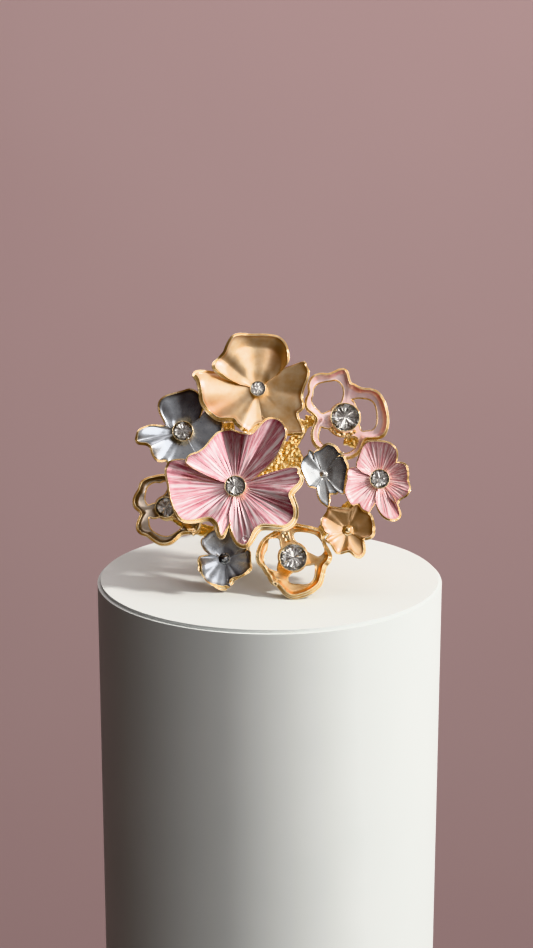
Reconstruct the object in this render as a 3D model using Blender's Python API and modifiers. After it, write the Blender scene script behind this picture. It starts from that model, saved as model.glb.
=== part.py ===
"""Cocktail ring: ten enamelled metal blossoms riveted to a cast gallery, on an open finger band.

The blossoms are laid out on a flat face: u runs to the right, v up the face and w out of it.
An empty named face carries that plane, leaning back, so that the ring stands on the rims of its
two lowest blossoms and on its band. The world origin is the centre of the finger hole.
Lengths in this file are in millimetres and are turned into metres as each mesh is made.
"""

from math import cos, pi, radians, sin

import bmesh
import bpy

MM = 0.001
GAP = 0.12               # clearance between pieces that touch

LEAN = 25.0              # degrees that the face leans back from upright

BAND_RADIUS = 8.7        # inside of the finger band
BAND_WALL = 1.3
BAND_WIDTH = 4.0         # under the gallery, tapering to the two open ends
BAND_END_WIDTH = 2.8
BAND_OPENING = 20.0      # degrees left open at the palm side
BAND_STEPS = 36
BAND_FLAT = 0.55         # share of the width that is flat before the edges round off
BAND_EDGE_DROP = 0.12
BAND_TIP = 0.07          # share of each half of the band over which its end is rounded
BAND_TIP_CUT = 0.75

SADDLE_SIZE = (7.6, 7.0, 2.4)    # across the finger, along the band, deep
SADDLE_ROUNDING = 0.5

GALLERY_BACK = -2.0      # w of the gallery's flat back
GALLERY_WALL = 1.0
WASHER_RADIUS = 1.7
BAR_WIDTH = 1.7
BAR_STEP_DOWN = 0.1      # how much thinner the first bar is than the washers
BAR_TAPER = 0.01         # and each further bar than the one before
PLATE_STEP_UP = 0.1      # how much thicker the middle plate is

PEG_RADIUS = 0.5
PEG_HOLE = 0.65
POST_RADIUS = 1.15

CASTING_WALL = 0.6
LIP_WIDTH = 0.45         # raised rim that holds the enamel
LIP_RISE = 0.35
ENAMEL_WALL = 0.22
ENAMEL_GAP = 0.18        # under the enamel, where the petals are folded
CUP_POWER = 1.6          # how late a petal turns up towards its edge
BEND_SHARE = 0.6         # share of a petal's reach, with the next length, where its tray bends
BEND_EXTRA = 0.2
LEAST_RING = 0.1         # least width of the ring of faces past that bend
STEEPEST_EDGE = 0.35     # least share of a radial step counted across an outline's edge
COLLAR_WIDTH = 0.2       # solid ring of an openwork blossom round its cup
SPOKE_EDGE = 1.2         # width of an openwork blossom's edge past a spoke
OPENING_SETBACK = 0.06   # from an opening's edge to the enamel

CUP_WALL = 0.22          # metal round a stone's girdle
CULET_HEIGHT = 0.42      # of a cup's hollow above the hub
PAVILION_DEPTH = 0.62    # these four are shares of a stone's radius
CROWN_HEIGHT = 0.34
TABLE_RADIUS = 0.55
CULET_RADIUS = 0.12
GIRDLE_WALL = 0.08
BEAD_RADIUS = 0.82
BEAD_FOOT = 0.85         # radius of the flat flange under a bead
BEAD_SEAT = 0.95         # radius kept free of enamel round a bead
PEG_STICKOUT = 0.1       # the pegs end this far short of the gallery's back

SADDLE_THINNEST = 0.9    # metal between the gallery and the band

ROUND_STEPS = 14
STONE_STEPS = 12
PLATE_STEPS = 20
HOLLOW_STEPS = 64

# The finger hole's centre: behind the left part of the face, under the middle blossom.
BAND_CENTRE_U = -5.2
BAND_CENTRE_W = GALLERY_BACK - GAP - SADDLE_THINNEST - BAND_RADIUS - BAND_WALL
BAND_CENTRE_V = -2.73

GOLD = ((0.80, 0.56, 0.27), 0.22, 1.0)
ROUGH_GOLD = ((0.72, 0.46, 0.20), 0.38, 1.0)
CRYSTAL = ((0.80, 0.82, 0.84), 0.03, 0.0)
ENAMEL_FINISH = (0.25, 0.4)
THIN_ENAMEL_FINISH = (0.2, 0.3)

# name: hub (u, v, w), enamel colour, stone radius or None for a metal bead, closed outline.
# An outline point is (bearing in degrees, reach, lift of the edge above the hub).
CLOSED_BLOSSOMS = {
    "top": ((-2.0, 11.5, 2.9), (0.45, 0.30, 0.17), 1.15, [
        (3, 7.3, 1.6), (12, 7.9, 1.8), (21, 8.4, 2.0), (31, 8.0, 1.8), (36, 6.0, 1.2),
        (42, 6.2, 1.3), (50, 7.3, 1.9), (60, 8.45, 2.3), (70, 8.8, 2.5), (84, 8.65, 2.2),
        (99, 8.7, 1.8), (112, 9.2, 1.8), (123, 8.7, 1.8), (133, 7.7, 1.7), (148, 8.0, 1.8),
        (158, 8.2, 1.8), (164, 10.4, 1.5), (169, 9.9, 1.4), (181, 9.2, 1.2), (195, 9.1, 1.2),
        (208, 8.6, 1.1), (222, 7.2, 0.9), (231, 6.4, 0.7), (248, 6.8, 0.4), (262, 6.4, 0.0),
        (276, 5.4, -0.2), (290, 6.4, 0.0), (302, 8.4, 0.7), (310, 9.2, 1.1), (317, 9.8, 1.3),
        (322, 8.1, 1.2), (328, 7.4, 1.1), (338, 7.7, 1.4), (350, 7.1, 1.5)]),
    "left": ((-13.55, 5.2, 1.2), (0.22, 0.21, 0.21), 1.55, [
        (6, 5.4, 0.2), (22, 4.6, 0.1), (38, 4.2, 0.2), (54, 5.2, 0.6), (68, 6.5, 1.1),
        (80, 6.75, 1.4), (92, 6.4, 1.3), (106, 6.2, 1.2), (118, 6.25, 1.2), (128, 6.05, 1.2),
        (136, 5.4, 1.1), (146, 4.0, 0.8), (157, 3.2, 0.5), (167, 3.6, 0.6), (173, 5.8, 0.9),
        (180, 6.95, 1.3), (189, 7.45, 1.7), (196, 7.2, 1.7), (203, 5.8, 1.2), (214, 6.0, 1.0),
        (224, 6.15, 0.9), (236, 5.6, 0.7), (249, 5.9, 0.6), (264, 5.4, 0.3), (280, 4.9, 0.1),
        (298, 5.6, 0.0), (320, 5.9, 0.0), (345, 5.9, 0.1)]),
    "centre": ((-5.4, -4.1, 5.0), (0.50, 0.17, 0.20), 1.55, [
        (5, 10.0, 0.5), (12, 9.9, 0.6), (17, 9.6, 0.7), (22, 5.0, 0.6), (27, 4.2, 0.8),
        (33, 6.7, 1.4), (40, 9.2, 1.9), (45, 11.0, 2.2), (51, 11.9, 2.0), (57, 12.1, 1.6),
        (63, 11.6, 1.6), (69, 9.6, 1.6), (77, 8.3, 1.7), (87, 8.3, 1.2), (98, 8.75, 0.8),
        (107, 8.7, 0.8), (118, 8.1, 1.1), (128, 7.6, 1.5), (139, 7.8, 1.9), (149, 8.5, 2.2),
        (156, 7.7, 1.9), (159, 5.6, 1.1), (163, 8.6, 0.9), (167, 10.9, 0.9), (176, 10.3, 0.9),
        (188, 10.0, 1.0), (200, 9.85, 1.1), (211, 9.65, 1.1), (219, 8.6, 1.1), (228, 6.9, 0.9),
        (238, 6.6, 0.8), (247, 7.1, 0.9), (254, 8.2, 1.0), (261, 5.8, 0.6), (267, 7.6, 0.8),
        (275, 9.2, 1.2), (284, 9.1, 1.4), (293, 8.0, 1.3), (303, 7.8, 1.0), (314, 8.9, 0.9),
        (321, 10.2, 0.8), (330, 10.6, 0.7), (339, 10.2, 0.9), (348, 9.2, 1.1), (357, 9.4, 0.8)]),
    "bottom_left": ((-7.1, -14.5, 0.35), (0.22, 0.21, 0.21), None, [
        (0, 4.1, 0.6), (12, 4.1, 0.5), (24, 3.9, 0.3), (40, 4.3, 0.3), (60, 4.6, 0.4),
        (80, 4.7, 0.5), (100, 4.7, 0.5), (118, 4.7, 0.5), (134, 4.6, 0.6), (142, 4.6, 0.7),
        (151, 3.9, 0.6), (161, 3.0, 0.4), (170, 3.0, 0.4), (177, 3.95, 0.6), (186, 4.2, 0.8),
        (197, 4.25, 0.9), (208, 4.35, 1.0), (222, 4.3, 0.7), (238, 4.4, 0.4), (254, 4.65, 0.0),
        (270, 4.85, -0.1), (278, 4.6, -0.1), (287, 4.0, 0.1), (300, 3.7, 0.4), (315, 3.9, 0.8),
        (328, 4.25, 0.9), (340, 4.5, 0.9), (350, 4.2, 0.7)]),
    "lower_right": ((11.65, -10.4, 2.0), (0.46, 0.27, 0.13), None, [
        (0, 4.2, 1.0), (14, 4.3, 1.1), (28, 4.4, 1.2), (40, 4.35, 1.2), (52, 4.05, 1.0),
        (62, 4.25, 1.0), (70, 4.47, 1.0), (77, 4.0, 0.8), (86, 3.6, 0.7), (98, 3.6, 0.8),
        (112, 3.9, 1.0), (122, 4.35, 0.9), (130, 4.68, 0.7), (138, 4.4, 0.8), (150, 4.35, 1.0),
        (161, 4.38, 0.9), (171, 4.05, 0.7), (182, 3.5, 0.6), (194, 3.15, 0.5), (203, 3.7, 0.8),
        (216, 3.5, 0.9), (230, 3.6, 1.0), (243, 3.9, 1.0), (256, 3.7, 0.8), (268, 3.35, 0.7),
        (279, 3.5, 0.8), (287, 4.2, 1.1), (295, 4.6, 1.3), (303, 4.5, 1.2), (312, 4.0, 1.0),
        (321, 3.3, 0.7), (330, 3.05, 0.5), (340, 3.55, 0.7), (350, 4.1, 0.9)]),
    "inner_right": ((8.05, -1.8, 2.5), (0.42, 0.42, 0.41), None, [
        (2, 3.7, 0.6), (12, 3.9, 0.6), (24, 4.12, 0.7), (38, 4.15, 0.8), (52, 4.3, 0.9),
        (64, 4.75, 1.1), (74, 4.96, 1.2), (84, 4.9, 1.2), (94, 4.3, 1.0), (106, 3.95, 0.9),
        (115, 3.6, 0.9), (120, 4.5, 1.1), (127, 4.05, 1.0), (140, 4.0, 1.0), (155, 3.9, 1.0),
        (167, 3.6, 0.9), (180, 3.2, 0.8), (196, 3.03, 0.7), (212, 3.0, 0.7), (228, 2.7, 0.5),
        (240, 2.55, 0.4), (250, 3.0, 0.5), (258, 3.85, 0.7), (267, 4.55, 0.8), (276, 4.95, 0.9),
        (283, 3.5, 0.7), (294, 3.4, 0.6), (305, 3.65, 0.7), (314, 4.25, 0.8), (326, 3.9, 0.7),
        (338, 3.65, 0.6), (350, 3.6, 0.6)]),
    "right": ((16.45, -2.7, 3.4), (0.62, 0.33, 0.34), 1.45, [
        (4, 4.55, 0.9), (16, 4.7, 1.0), (28, 4.79, 1.1), (38, 4.2, 0.9), (46, 3.85, 0.8),
        (54, 4.8, 1.2), (64, 5.55, 1.5), (76, 5.9, 1.7), (90, 6.0, 1.7), (104, 6.12, 1.6),
        (116, 5.76, 1.4), (128, 5.0, 1.1), (143, 4.35, 0.8), (156, 4.7, 0.8), (170, 4.95, 0.8),
        (183, 5.0, 0.8), (195, 5.45, 0.9), (210, 5.78, 1.0), (222, 5.75, 1.0), (230, 5.1, 0.9),
        (241, 5.3, 1.0), (252, 5.28, 1.0), (257, 4.3, 0.7), (264, 4.15, 0.6), (271, 5.3, 0.9),
        (280, 6.3, 1.2), (289, 6.75, 1.4), (297, 6.6, 1.4), (303, 5.3, 1.1), (311, 4.56, 0.8),
        (324, 4.8, 0.9), (338, 5.0, 1.0), (351, 4.7, 0.9)]),
}

# An openwork point is (bearing, hole's inner radius, hole's outer radius, reach, lift).
# A point without a hole lies on one of the blossom's three spokes.
OPEN_BLOSSOMS = {
    "lower_left": ((-16.1, -6.6, 0.8), (0.10, 0.09, 0.08), 1.55, [
        (0, 2.1, 4.0, 5.4, 0.3), (16, 2.1, 4.2, 5.5, 0.3), (34, 2.1, 4.2, 5.5, 0.3),
        (51, 2.1, 4.0, 5.3, 0.3), (66, 2.5, 3.5, 5.0, 0.4), (78, None, None, 4.8, 0.5),
        (92, None, None, 5.1, 0.6), (104, 2.6, 3.9, 5.25, 0.7), (112, 2.15, 4.15, 5.25, 0.8),
        (122, 2.1, 4.25, 5.45, 0.9), (132, 2.1, 4.2, 5.6, 1.0), (144, 2.1, 3.8, 5.3, 1.0),
        (158, 2.1, 3.5, 5.2, 0.9), (170, 2.35, 3.1, 5.2, 0.8), (180, None, None, 4.9, 0.7),
        (194, None, None, 4.1, 0.5), (206, None, None, 4.75, 0.6), (219, 2.7, 3.3, 5.6, 0.8),
        (228, 2.3, 3.7, 5.6, 0.9), (240, 2.1, 4.05, 5.35, 0.9), (252, 2.1, 4.2, 5.6, 0.8),
        (266, 2.1, 4.4, 5.85, 0.7), (279, 2.1, 4.4, 5.7, 0.6), (291, 2.1, 4.2, 5.25, 0.5),
        (304, 2.15, 4.05, 5.15, 0.4), (314, 2.6, 3.8, 5.6, 0.4), (324, None, None, 6.2, 0.3),
        (336, None, None, 5.6, 0.3), (347, 2.5, 3.6, 5.3, 0.3)]),
    "bottom": ((3.35, -14.4, 1.4), (0.42, 0.20, 0.06), 2.06, [
        (3, 3.2, 4.4, 5.9, 0.4), (10, 2.7, 4.9, 5.75, 0.3), (21, 2.5, 5.0, 5.65, 0.3),
        (33, 2.5, 5.0, 5.75, 0.3), (43, 2.5, 4.9, 6.1, 0.3), (53, 2.5, 4.6, 5.75, 0.4),
        (64, 2.5, 4.3, 5.35, 0.5), (75, 2.5, 4.05, 5.2, 0.4), (86, 2.6, 3.8, 5.1, 0.3),
        (96, None, None, 5.0, 0.3), (108, None, None, 4.9, 0.3), (121, None, None, 4.9, 0.3),
        (132, 2.9, 4.0, 5.0, 0.3), (142, 2.55, 4.6, 5.25, 0.4), (152, 2.5, 4.35, 5.4, 0.5),
        (163, 2.5, 4.2, 5.5, 0.7), (175, 2.5, 4.45, 5.7, 0.9), (186, 2.5, 4.55, 5.6, 0.9),
        (197, 2.5, 4.4, 5.2, 0.8), (207, 2.6, 4.0, 5.0, 0.8), (217, 3.0, 3.5, 4.95, 0.8),
        (227, None, None, 5.15, 0.9), (239, None, None, 5.05, 1.0), (250, None, None, 5.45, 1.1),
        (259, 2.6, 3.85, 5.9, 1.2), (269, 2.5, 4.05, 6.22, 1.3), (281, 2.5, 4.2, 6.18, 1.3),
        (293, 2.5, 4.5, 6.15, 1.3), (304, 2.5, 4.7, 6.08, 1.2), (314, 2.5, 4.5, 6.0, 1.1),
        (324, 2.5, 4.1, 5.7, 1.0), (332, 2.6, 3.85, 5.45, 0.8), (338, 3.0, 3.7, 5.35, 0.7),
        (347, None, None, 5.4, 0.6), (356, None, None, 5.85, 0.6)]),
    "upper_right": ((11.4, 7.4, 1.0), (0.72, 0.52, 0.50), 2.2, [
        (6, 2.65, 5.0, 6.77, 1.0), (17, 2.65, 5.05, 6.72, 1.0), (27, 2.65, 5.05, 6.72, 1.0),
        (36, 2.65, 4.75, 6.68, 1.0), (46, 2.7, 4.15, 6.25, 1.0), (57, 2.8, 3.65, 5.55, 0.8),
        (65, 2.9, 3.2, 5.4, 0.7), (74, None, None, 5.55, 0.8), (83, None, None, 5.95, 1.0),
        (88, None, None, 7.4, 1.3), (95, 3.0, 5.2, 7.7, 1.4), (103, 2.65, 5.95, 7.45, 1.4),
        (111, 2.65, 6.1, 7.42, 1.4), (120, 2.65, 6.4, 8.0, 1.4), (129, 2.65, 6.7, 8.2, 1.4),
        (137, 2.65, 6.6, 7.8, 1.3), (145, 2.65, 6.1, 6.95, 1.1), (153, 2.7, 5.8, 6.85, 1.0),
        (160, 2.8, 5.1, 6.65, 0.8), (166, 3.1, 4.1, 6.3, 0.7), (174, None, None, 5.1, 0.4),
        (185, None, None, 4.6, 0.2), (196, None, None, 5.2, 0.1), (206, 3.6, 4.3, 5.88, 0.1),
        (213, 3.1, 4.9, 6.22, 0.1), (222, 3.0, 5.3, 6.47, 0.1), (232, 3.0, 5.4, 6.45, 0.0),
        (246, 3.0, 5.5, 6.5, 0.0), (260, 3.0, 5.6, 6.6, 0.0), (275, 3.0, 5.5, 6.5, 0.0),
        (288, 3.1, 5.0, 6.1, 0.0), (298, 3.3, 4.4, 5.5, 0.1), (306, None, None, 5.0, 0.2),
        (316, None, None, 4.95, 0.3), (327, 2.8, 3.8, 6.1, 0.5), (335, 2.65, 4.6, 6.75, 0.7),
        (345, 2.65, 4.95, 6.9, 0.9), (356, 2.65, 5.0, 6.84, 1.0)]),
}

# A tiny domed stone on the middle blossom's lowest petal: bearing, distance and height over the hub.
DEW_AT = (281, 8.0, 1.62)
DEW_RADIUS = 0.5

# The gallery is a tree of flat bars from a middle plate to a washer under each blossom. The
# right-hand blossoms stand on a second, separate rail.
PLATE_AT = (2.0, 1.2)
PLATE_RADIUS = 3.0
UPPER_ELBOW = (5.4, 7.4)
LOWER_ELBOW = (1.9, -9.2)
LEFT_ELBOW = (-12.4, -9.4)
LEFT_KNEE = (-8.9, -10.1)
STUB_END = (-6.6, 7.2)
GALLERY_BARS = [
    (PLATE_AT, "top"), (PLATE_AT, "inner_right"), (PLATE_AT, UPPER_ELBOW),
    (UPPER_ELBOW, "upper_right"), (PLATE_AT, "centre"), ("centre", "left"),
    ("centre", "lower_left"), ("centre", "bottom_left"), ("centre", LOWER_ELBOW),
    (LOWER_ELBOW, "bottom"), ("lower_left", LEFT_ELBOW), (LEFT_ELBOW, LEFT_KNEE),
    (LEFT_KNEE, "bottom_left"), ("centre", STUB_END)]
GALLERY_WASHERS = [
    "top", "left", "centre", "lower_left", "bottom_left", "bottom", "upper_right", "inner_right"]
RAIL_BEND = (12.2, -6.1)
RAIL_FOOT = (7.2, -10.6)
RAIL_HEAD = (11.5, 4.6)
RAIL_NECK = (14.1, 3.7)
RAIL_BARS = [
    ("right", RAIL_BEND), (RAIL_BEND, RAIL_FOOT), (RAIL_BEND, "lower_right"),
    (RAIL_NECK, "right")]
RAIL_WASHERS = ["right", "lower_right"]


def hub_of(name):
    return (CLOSED_BLOSSOMS.get(name) or OPEN_BLOSSOMS.get(name))[0]


def place_of(end):
    """(u, v) of a bar's end, which is a blossom's name or a point."""
    return hub_of(end)[:2] if isinstance(end, str) else end


def material(name, look):
    colour, roughness, metallic = look
    made = bpy.data.materials.new(name)
    made.use_nodes = True
    shader = made.node_tree.nodes["Principled BSDF"]
    shader.inputs["Base Color"].default_value = (*colour, 1.0)
    shader.inputs["Roughness"].default_value = roughness
    shader.inputs["Metallic"].default_value = metallic
    return made


def add_object(name, mesh, look, parent, at=(0.0, 0.0, 0.0)):
    made = bpy.data.objects.new(name, mesh)
    mesh.materials.append(material(name + "_finish", look))
    PARTS.objects.link(made)
    made.parent = parent
    made.location = [x * MM for x in at]
    return made


def on_circle(radius, bearing):
    return radius * cos(radians(bearing)), radius * sin(radians(bearing))


def sheet_mesh(name, bearings, rings, open_cells):
    """An open sheet round the hub, extruded outwards from its first ring.

    rings[k][i] is (radius, height) of ring k at bearings[i]. open_cells holds the (k, i) of the
    cells between ring k and k + 1 that are left out.
    """
    bm = bmesh.new()
    count = len(bearings)
    start = bmesh.ops.create_circle(bm, segments=count, radius=1.0)["verts"]
    bm.verts.ensure_lookup_table()
    around = list(start)
    edges = [bm.edges.get((around[i], around[(i + 1) % count])) for i in range(count)]
    cells = {}
    for k, ring in enumerate(rings):
        if k:
            before = around
            grown = bmesh.ops.extrude_edge_only(bm, edges=edges)["geom"]
            new = {v for v in grown if isinstance(v, bmesh.types.BMVert)}
            around = [next(e.other_vert(v) for e in v.link_edges if e.other_vert(v) in new)
                      for v in before]
            edges = [bm.edges.get((around[i], around[(i + 1) % count])) for i in range(count)]
            for i, edge in enumerate(edges):
                cells[k - 1, i] = edge.link_faces[0]
        for vert, bearing, (radius, height) in zip(around, bearings, ring):
            x, y = on_circle(radius, bearing)
            vert.co = (x * MM, y * MM, height * MM)
    left_out = [cells[cell] for cell in open_cells]
    bmesh.ops.delete(bm, geom=left_out, context="FACES")
    bmesh.ops.recalc_face_normals(bm, faces=bm.faces)
    if sum(face.normal.z for face in bm.faces) < 0:
        bmesh.ops.reverse_faces(bm, faces=bm.faces)
    bmesh.ops.triangulate(bm, faces=bm.faces, quad_method="FIXED")
    mesh = bpy.data.meshes.new(name)
    bm.to_mesh(mesh)
    bm.free()
    mesh.shade_smooth()
    return mesh


def thicken(obj, wall):
    shell = obj.modifiers.new("wall", "SOLIDIFY")
    shell.thickness = wall * MM
    shell.offset = -1.0


def insets(bearings, reaches, width):
    """How far in along each bearing a line lies that keeps this width from the outline."""
    count = len(bearings)
    corners = [on_circle(reach, bearing) for bearing, reach in zip(bearings, reaches)]
    found = []
    for i, bearing in enumerate(bearings):
        before, after = corners[i - 1], corners[(i + 1) % count]
        along = (after[0] - before[0], after[1] - before[1])
        length = (along[0] ** 2 + along[1] ** 2) ** 0.5
        outward = on_circle(1.0, bearing)
        facing = (along[1] * outward[0] - along[0] * outward[1]) / length
        found.append(width / max(facing, STEEPEST_EDGE))
    return found


def surface_point(reach, lift, radius):
    """(radius, height) of the blossom's face at a radius along one bearing."""
    share = max(0.0, (radius - PEG_HOLE) / (reach - PEG_HOLE))
    return radius, lift * share ** CUP_POWER


def height_on(rings, i, radius):
    """Height of a faceted sheet at a radius along its bearing i."""
    for inner, outer in zip(rings, rings[1:]):
        (r0, z0), (r1, z1) = inner[i], outer[i]
        if radius <= r1:
            return z0 + (z1 - z0) * (radius - r0) / (r1 - r0)
    return z1


def closed_blossom(name, face):
    hub, colour, stone, outline = CLOSED_BLOSSOMS[name]
    bearings = [point[0] for point in outline]
    edge = [(reach, lift) for _, reach, lift in outline]
    reaches = [point[1] for point in outline]
    inner = cup_radius(stone) + GAP
    middle = [BEND_SHARE * reach + BEND_EXTRA for reach in reaches]
    foot = [max(reach - inset, mid + 2 * LEAST_RING) for reach, mid, inset in
            zip(reaches, middle, insets(bearings, reaches, LIP_WIDTH))]
    rim = [max(reach - inset, mid + LEAST_RING) for reach, mid, inset in
           zip(reaches, middle, insets(bearings, reaches, LIP_WIDTH + GAP))]
    tray = [
        [surface_point(reach, lift, inner) for reach, lift in edge],
        [surface_point(*end, radius) for end, radius in zip(edge, middle)],
        [surface_point(*end, radius) for end, radius in zip(edge, foot)]]
    bore = [(PEG_HOLE, 0.0)] * len(edge)
    lip = [(reach, lift + LIP_RISE) for reach, lift in edge]
    casting = sheet_mesh(name + "_blossom", bearings, [bore] + tray + [lip], [])
    thicken(add_object(name + "_blossom", casting, GOLD, face, hub), CASTING_WALL)
    above = ENAMEL_GAP + ENAMEL_WALL
    fill = [[(r, z + above) for r, z in ring] for ring in tray[:2]]
    fill.append([(r, height_on(tray, i, r) + above) for i, r in enumerate(rim)])
    sheet = sheet_mesh(name + "_enamel", bearings, fill, [])
    thicken(add_object(name + "_enamel", sheet, (colour, *ENAMEL_FINISH), face, hub), ENAMEL_WALL)


def open_blossom(name, face):
    hub, colour, stone, outline = OPEN_BLOSSOMS[name]
    bearings = [point[0] for point in outline]
    count = len(outline)
    hollow = [point[1] is not None for point in outline]
    collar = cup_radius(stone) + COLLAR_WIDTH
    inner, outer, edge = [], [], []
    for _, hole_in, hole_out, reach, lift in outline:
        inner.append(surface_point(reach, lift, hole_in or collar + COLLAR_WIDTH))
        outer.append(surface_point(reach, lift, hole_out or reach - SPOKE_EDGE))
        edge.append(surface_point(reach, lift, reach - LIP_WIDTH))
    holes = [i for i in range(count) if hollow[i] and hollow[(i + 1) % count]]
    lip = [(reach, lift + LIP_RISE) for *_, reach, lift in outline]
    casting = sheet_mesh(name + "_blossom", bearings,
                         [[(PEG_HOLE, 0.0)] * count, inner, outer, edge, lip],
                         [(1, i) for i in holes])
    thicken(add_object(name + "_blossom", casting, GOLD, face, hub), CASTING_WALL)
    above = ENAMEL_GAP + ENAMEL_WALL
    fill = [
        [(r, z + above) for r, z in inner],
        [(r + OPENING_SETBACK, z + above) for r, z in outer],
        [(r - GAP, z + above) for r, z in edge]]
    sheet = sheet_mesh(name + "_enamel", bearings, fill, [(0, i) for i in holes])
    thicken(add_object(name + "_enamel", sheet, (colour, *THIN_ENAMEL_FINISH), face, hub), ENAMEL_WALL)


def cup_radius(stone):
    """Outer radius of a stone's cup, or of the seat of a bead."""
    return stone + GAP + CUP_WALL if stone else BEAD_SEAT


def turned(name, profile, steps, look, parent, at):
    """A turned piece: the profile runs down its outer side, and a last point equal to the
    first one makes it a ring."""
    loop = profile[0] == profile[-1]
    points = profile[:-1] if loop else profile
    mesh = bpy.data.meshes.new(name)
    edges = [(i, i + 1) for i in range(len(points) - 1)]
    if loop:
        edges.append((len(points) - 1, 0))
    mesh.from_pydata([(r * MM, 0.0, z * MM) for r, z in points], edges, [])
    made = add_object(name, mesh, look, parent, at)
    screw = made.modifiers.new("turn", "SCREW")
    screw.steps = steps
    screw.render_steps = steps
    screw.use_merge_vertices = True
    screw.merge_threshold = 0.01 * MM
    return made


def stone_and_cup(name, face, hub, stone):
    """A conical cup with a peg, and a cut stone standing clear inside it."""
    girdle = CULET_HEIGHT + PAVILION_DEPTH * stone
    cup_top = girdle + 2 * GIRDLE_WALL
    culet = CULET_HEIGHT + LEAST_RING
    rim = cup_radius(stone)
    peg_end = GALLERY_BACK - hub[2] + PEG_STICKOUT
    turned(name + "_stone_cup", [
        (0.0, CULET_HEIGHT - GAP), (stone + GAP, girdle), (stone + GAP, cup_top),
        (rim, cup_top), (rim, girdle - CUP_WALL), (2 * PEG_RADIUS, GAP),
        (PEG_RADIUS, GAP), (PEG_RADIUS, peg_end), (0.0, peg_end)],
        ROUND_STEPS, GOLD, face, hub)
    table = girdle + CROWN_HEIGHT * stone
    turned(name + "_stone", [
        (0.0, table), (TABLE_RADIUS * stone, table), (stone, girdle + GIRDLE_WALL),
        (stone, girdle), (CULET_RADIUS * stone, culet), (0.0, culet)],
        STONE_STEPS, CRYSTAL, face, hub)


def bead(name, face, hub):
    """A domed rivet head on a thin flange, with its own peg."""
    flange = 2 * GAP
    peg_end = GALLERY_BACK - hub[2] + PEG_STICKOUT
    arc = [(BEAD_RADIUS * sin(pi * k / 10), GAP + flange + BEAD_RADIUS * cos(pi * k / 10))
           for k in range(6)]
    turned(name + "_bead", [(0.0, arc[0][1])] + arc[1:] + [
        (BEAD_FOOT, GAP + flange), (BEAD_FOOT, GAP), (PEG_RADIUS, GAP), (PEG_RADIUS, peg_end),
        (0.0, peg_end)], ROUND_STEPS, GOLD, face, hub)


def dew_stone(face):
    """A half-round stone glued on the enamel."""
    u, v, w = hub_of("centre")
    bearing, distance, height = DEW_AT
    x, y = on_circle(distance, bearing)
    arc = [(DEW_RADIUS * sin(pi * k / 8), DEW_RADIUS * cos(pi * k / 8)) for k in range(5)]
    turned("dew_stone", arc + [(0.0, 0.0)], STONE_STEPS, CRYSTAL, face, (u + x, v + y, w + height))


def post(name, face, hub):
    """The spacer tube between the gallery and a blossom's back."""
    foot = GALLERY_BACK + GALLERY_WALL + GAP
    head = hub[2] - CASTING_WALL - GAP
    turned(name + "_post", [
        (POST_RADIUS, head), (POST_RADIUS, foot), (PEG_HOLE, foot), (PEG_HOLE, head),
        (POST_RADIUS, head)], ROUND_STEPS, GOLD, face, (hub[0], hub[1], 0.0))


def disc(radius, wall, at, steps=ROUND_STEPS):
    """A round plate, at the (u, v, w) of its middle."""
    bm = bmesh.new()
    bmesh.ops.create_cone(bm, cap_ends=True, segments=steps, radius1=radius * MM,
                          radius2=radius * MM, depth=wall * MM)
    bmesh.ops.translate(bm, verts=bm.verts, vec=(at[0] * MM, at[1] * MM, at[2] * MM))
    mesh = bpy.data.meshes.new("disc")
    bm.to_mesh(mesh)
    bm.free()
    return mesh


def bar_mesh(start, end, wall, middle):
    """A straight flat bar between two (u, v) points, with its middle plane at w = middle."""
    (u0, v0), (u1, v1) = start, end
    bm = bmesh.new()
    bmesh.ops.create_cube(bm, size=1.0)
    along = (u1 - u0, v1 - v0)
    length = (along[0] ** 2 + along[1] ** 2) ** 0.5
    for vert in bm.verts:
        share, side = vert.co.x + 0.5, vert.co.y * BAR_WIDTH / length
        vert.co = ((u0 + along[0] * share - along[1] * side) * MM,
                   (v0 + along[1] * share + along[0] * side) * MM,
                   (middle + vert.co.z * wall) * MM)
    mesh = bpy.data.meshes.new("bar")
    bm.to_mesh(mesh)
    bm.free()
    return mesh


def helper(name, mesh, face):
    """A hidden solid that a Boolean joins to a part or cuts from it."""
    made = bpy.data.objects.new(name, mesh)
    CUTTERS.objects.link(made)
    made.parent = face
    made.hide_render = True
    made.display_type = "WIRE"
    return made


def boolean(obj, other, operation):
    step = obj.modifiers.new(operation.lower(), "BOOLEAN")
    step.operation = operation
    step.object = other


def flat_frame(name, base_mesh, bars, washers, face):
    """Bars and washers joined on one base, then drilled.

    Each bar is a little thinner than the one before it, so that no two of them share a face.
    """
    middle = GALLERY_BACK + GALLERY_WALL / 2
    frame = add_object(name, base_mesh, ROUGH_GOLD, face)
    for k, (start, end) in enumerate(bars):
        wall = GALLERY_WALL - BAR_STEP_DOWN - BAR_TAPER * k
        mesh = bar_mesh(place_of(start), place_of(end), wall, middle)
        boolean(frame, helper(f"{name}_bar_{k}", mesh, face), "UNION")
    for k, blossom in enumerate(washers):
        u, v, _ = hub_of(blossom)
        mesh = disc(WASHER_RADIUS, GALLERY_WALL, (u, v, middle))
        boolean(frame, helper(f"{name}_washer_{k}", mesh, face), "UNION")
    for k, blossom in enumerate(washers):
        u, v, _ = hub_of(blossom)
        mesh = disc(PEG_HOLE, 3 * GALLERY_WALL, (u, v, middle))
        boolean(frame, helper(f"{name}_drill_{k}", mesh, face), "DIFFERENCE")
    return frame


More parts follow.
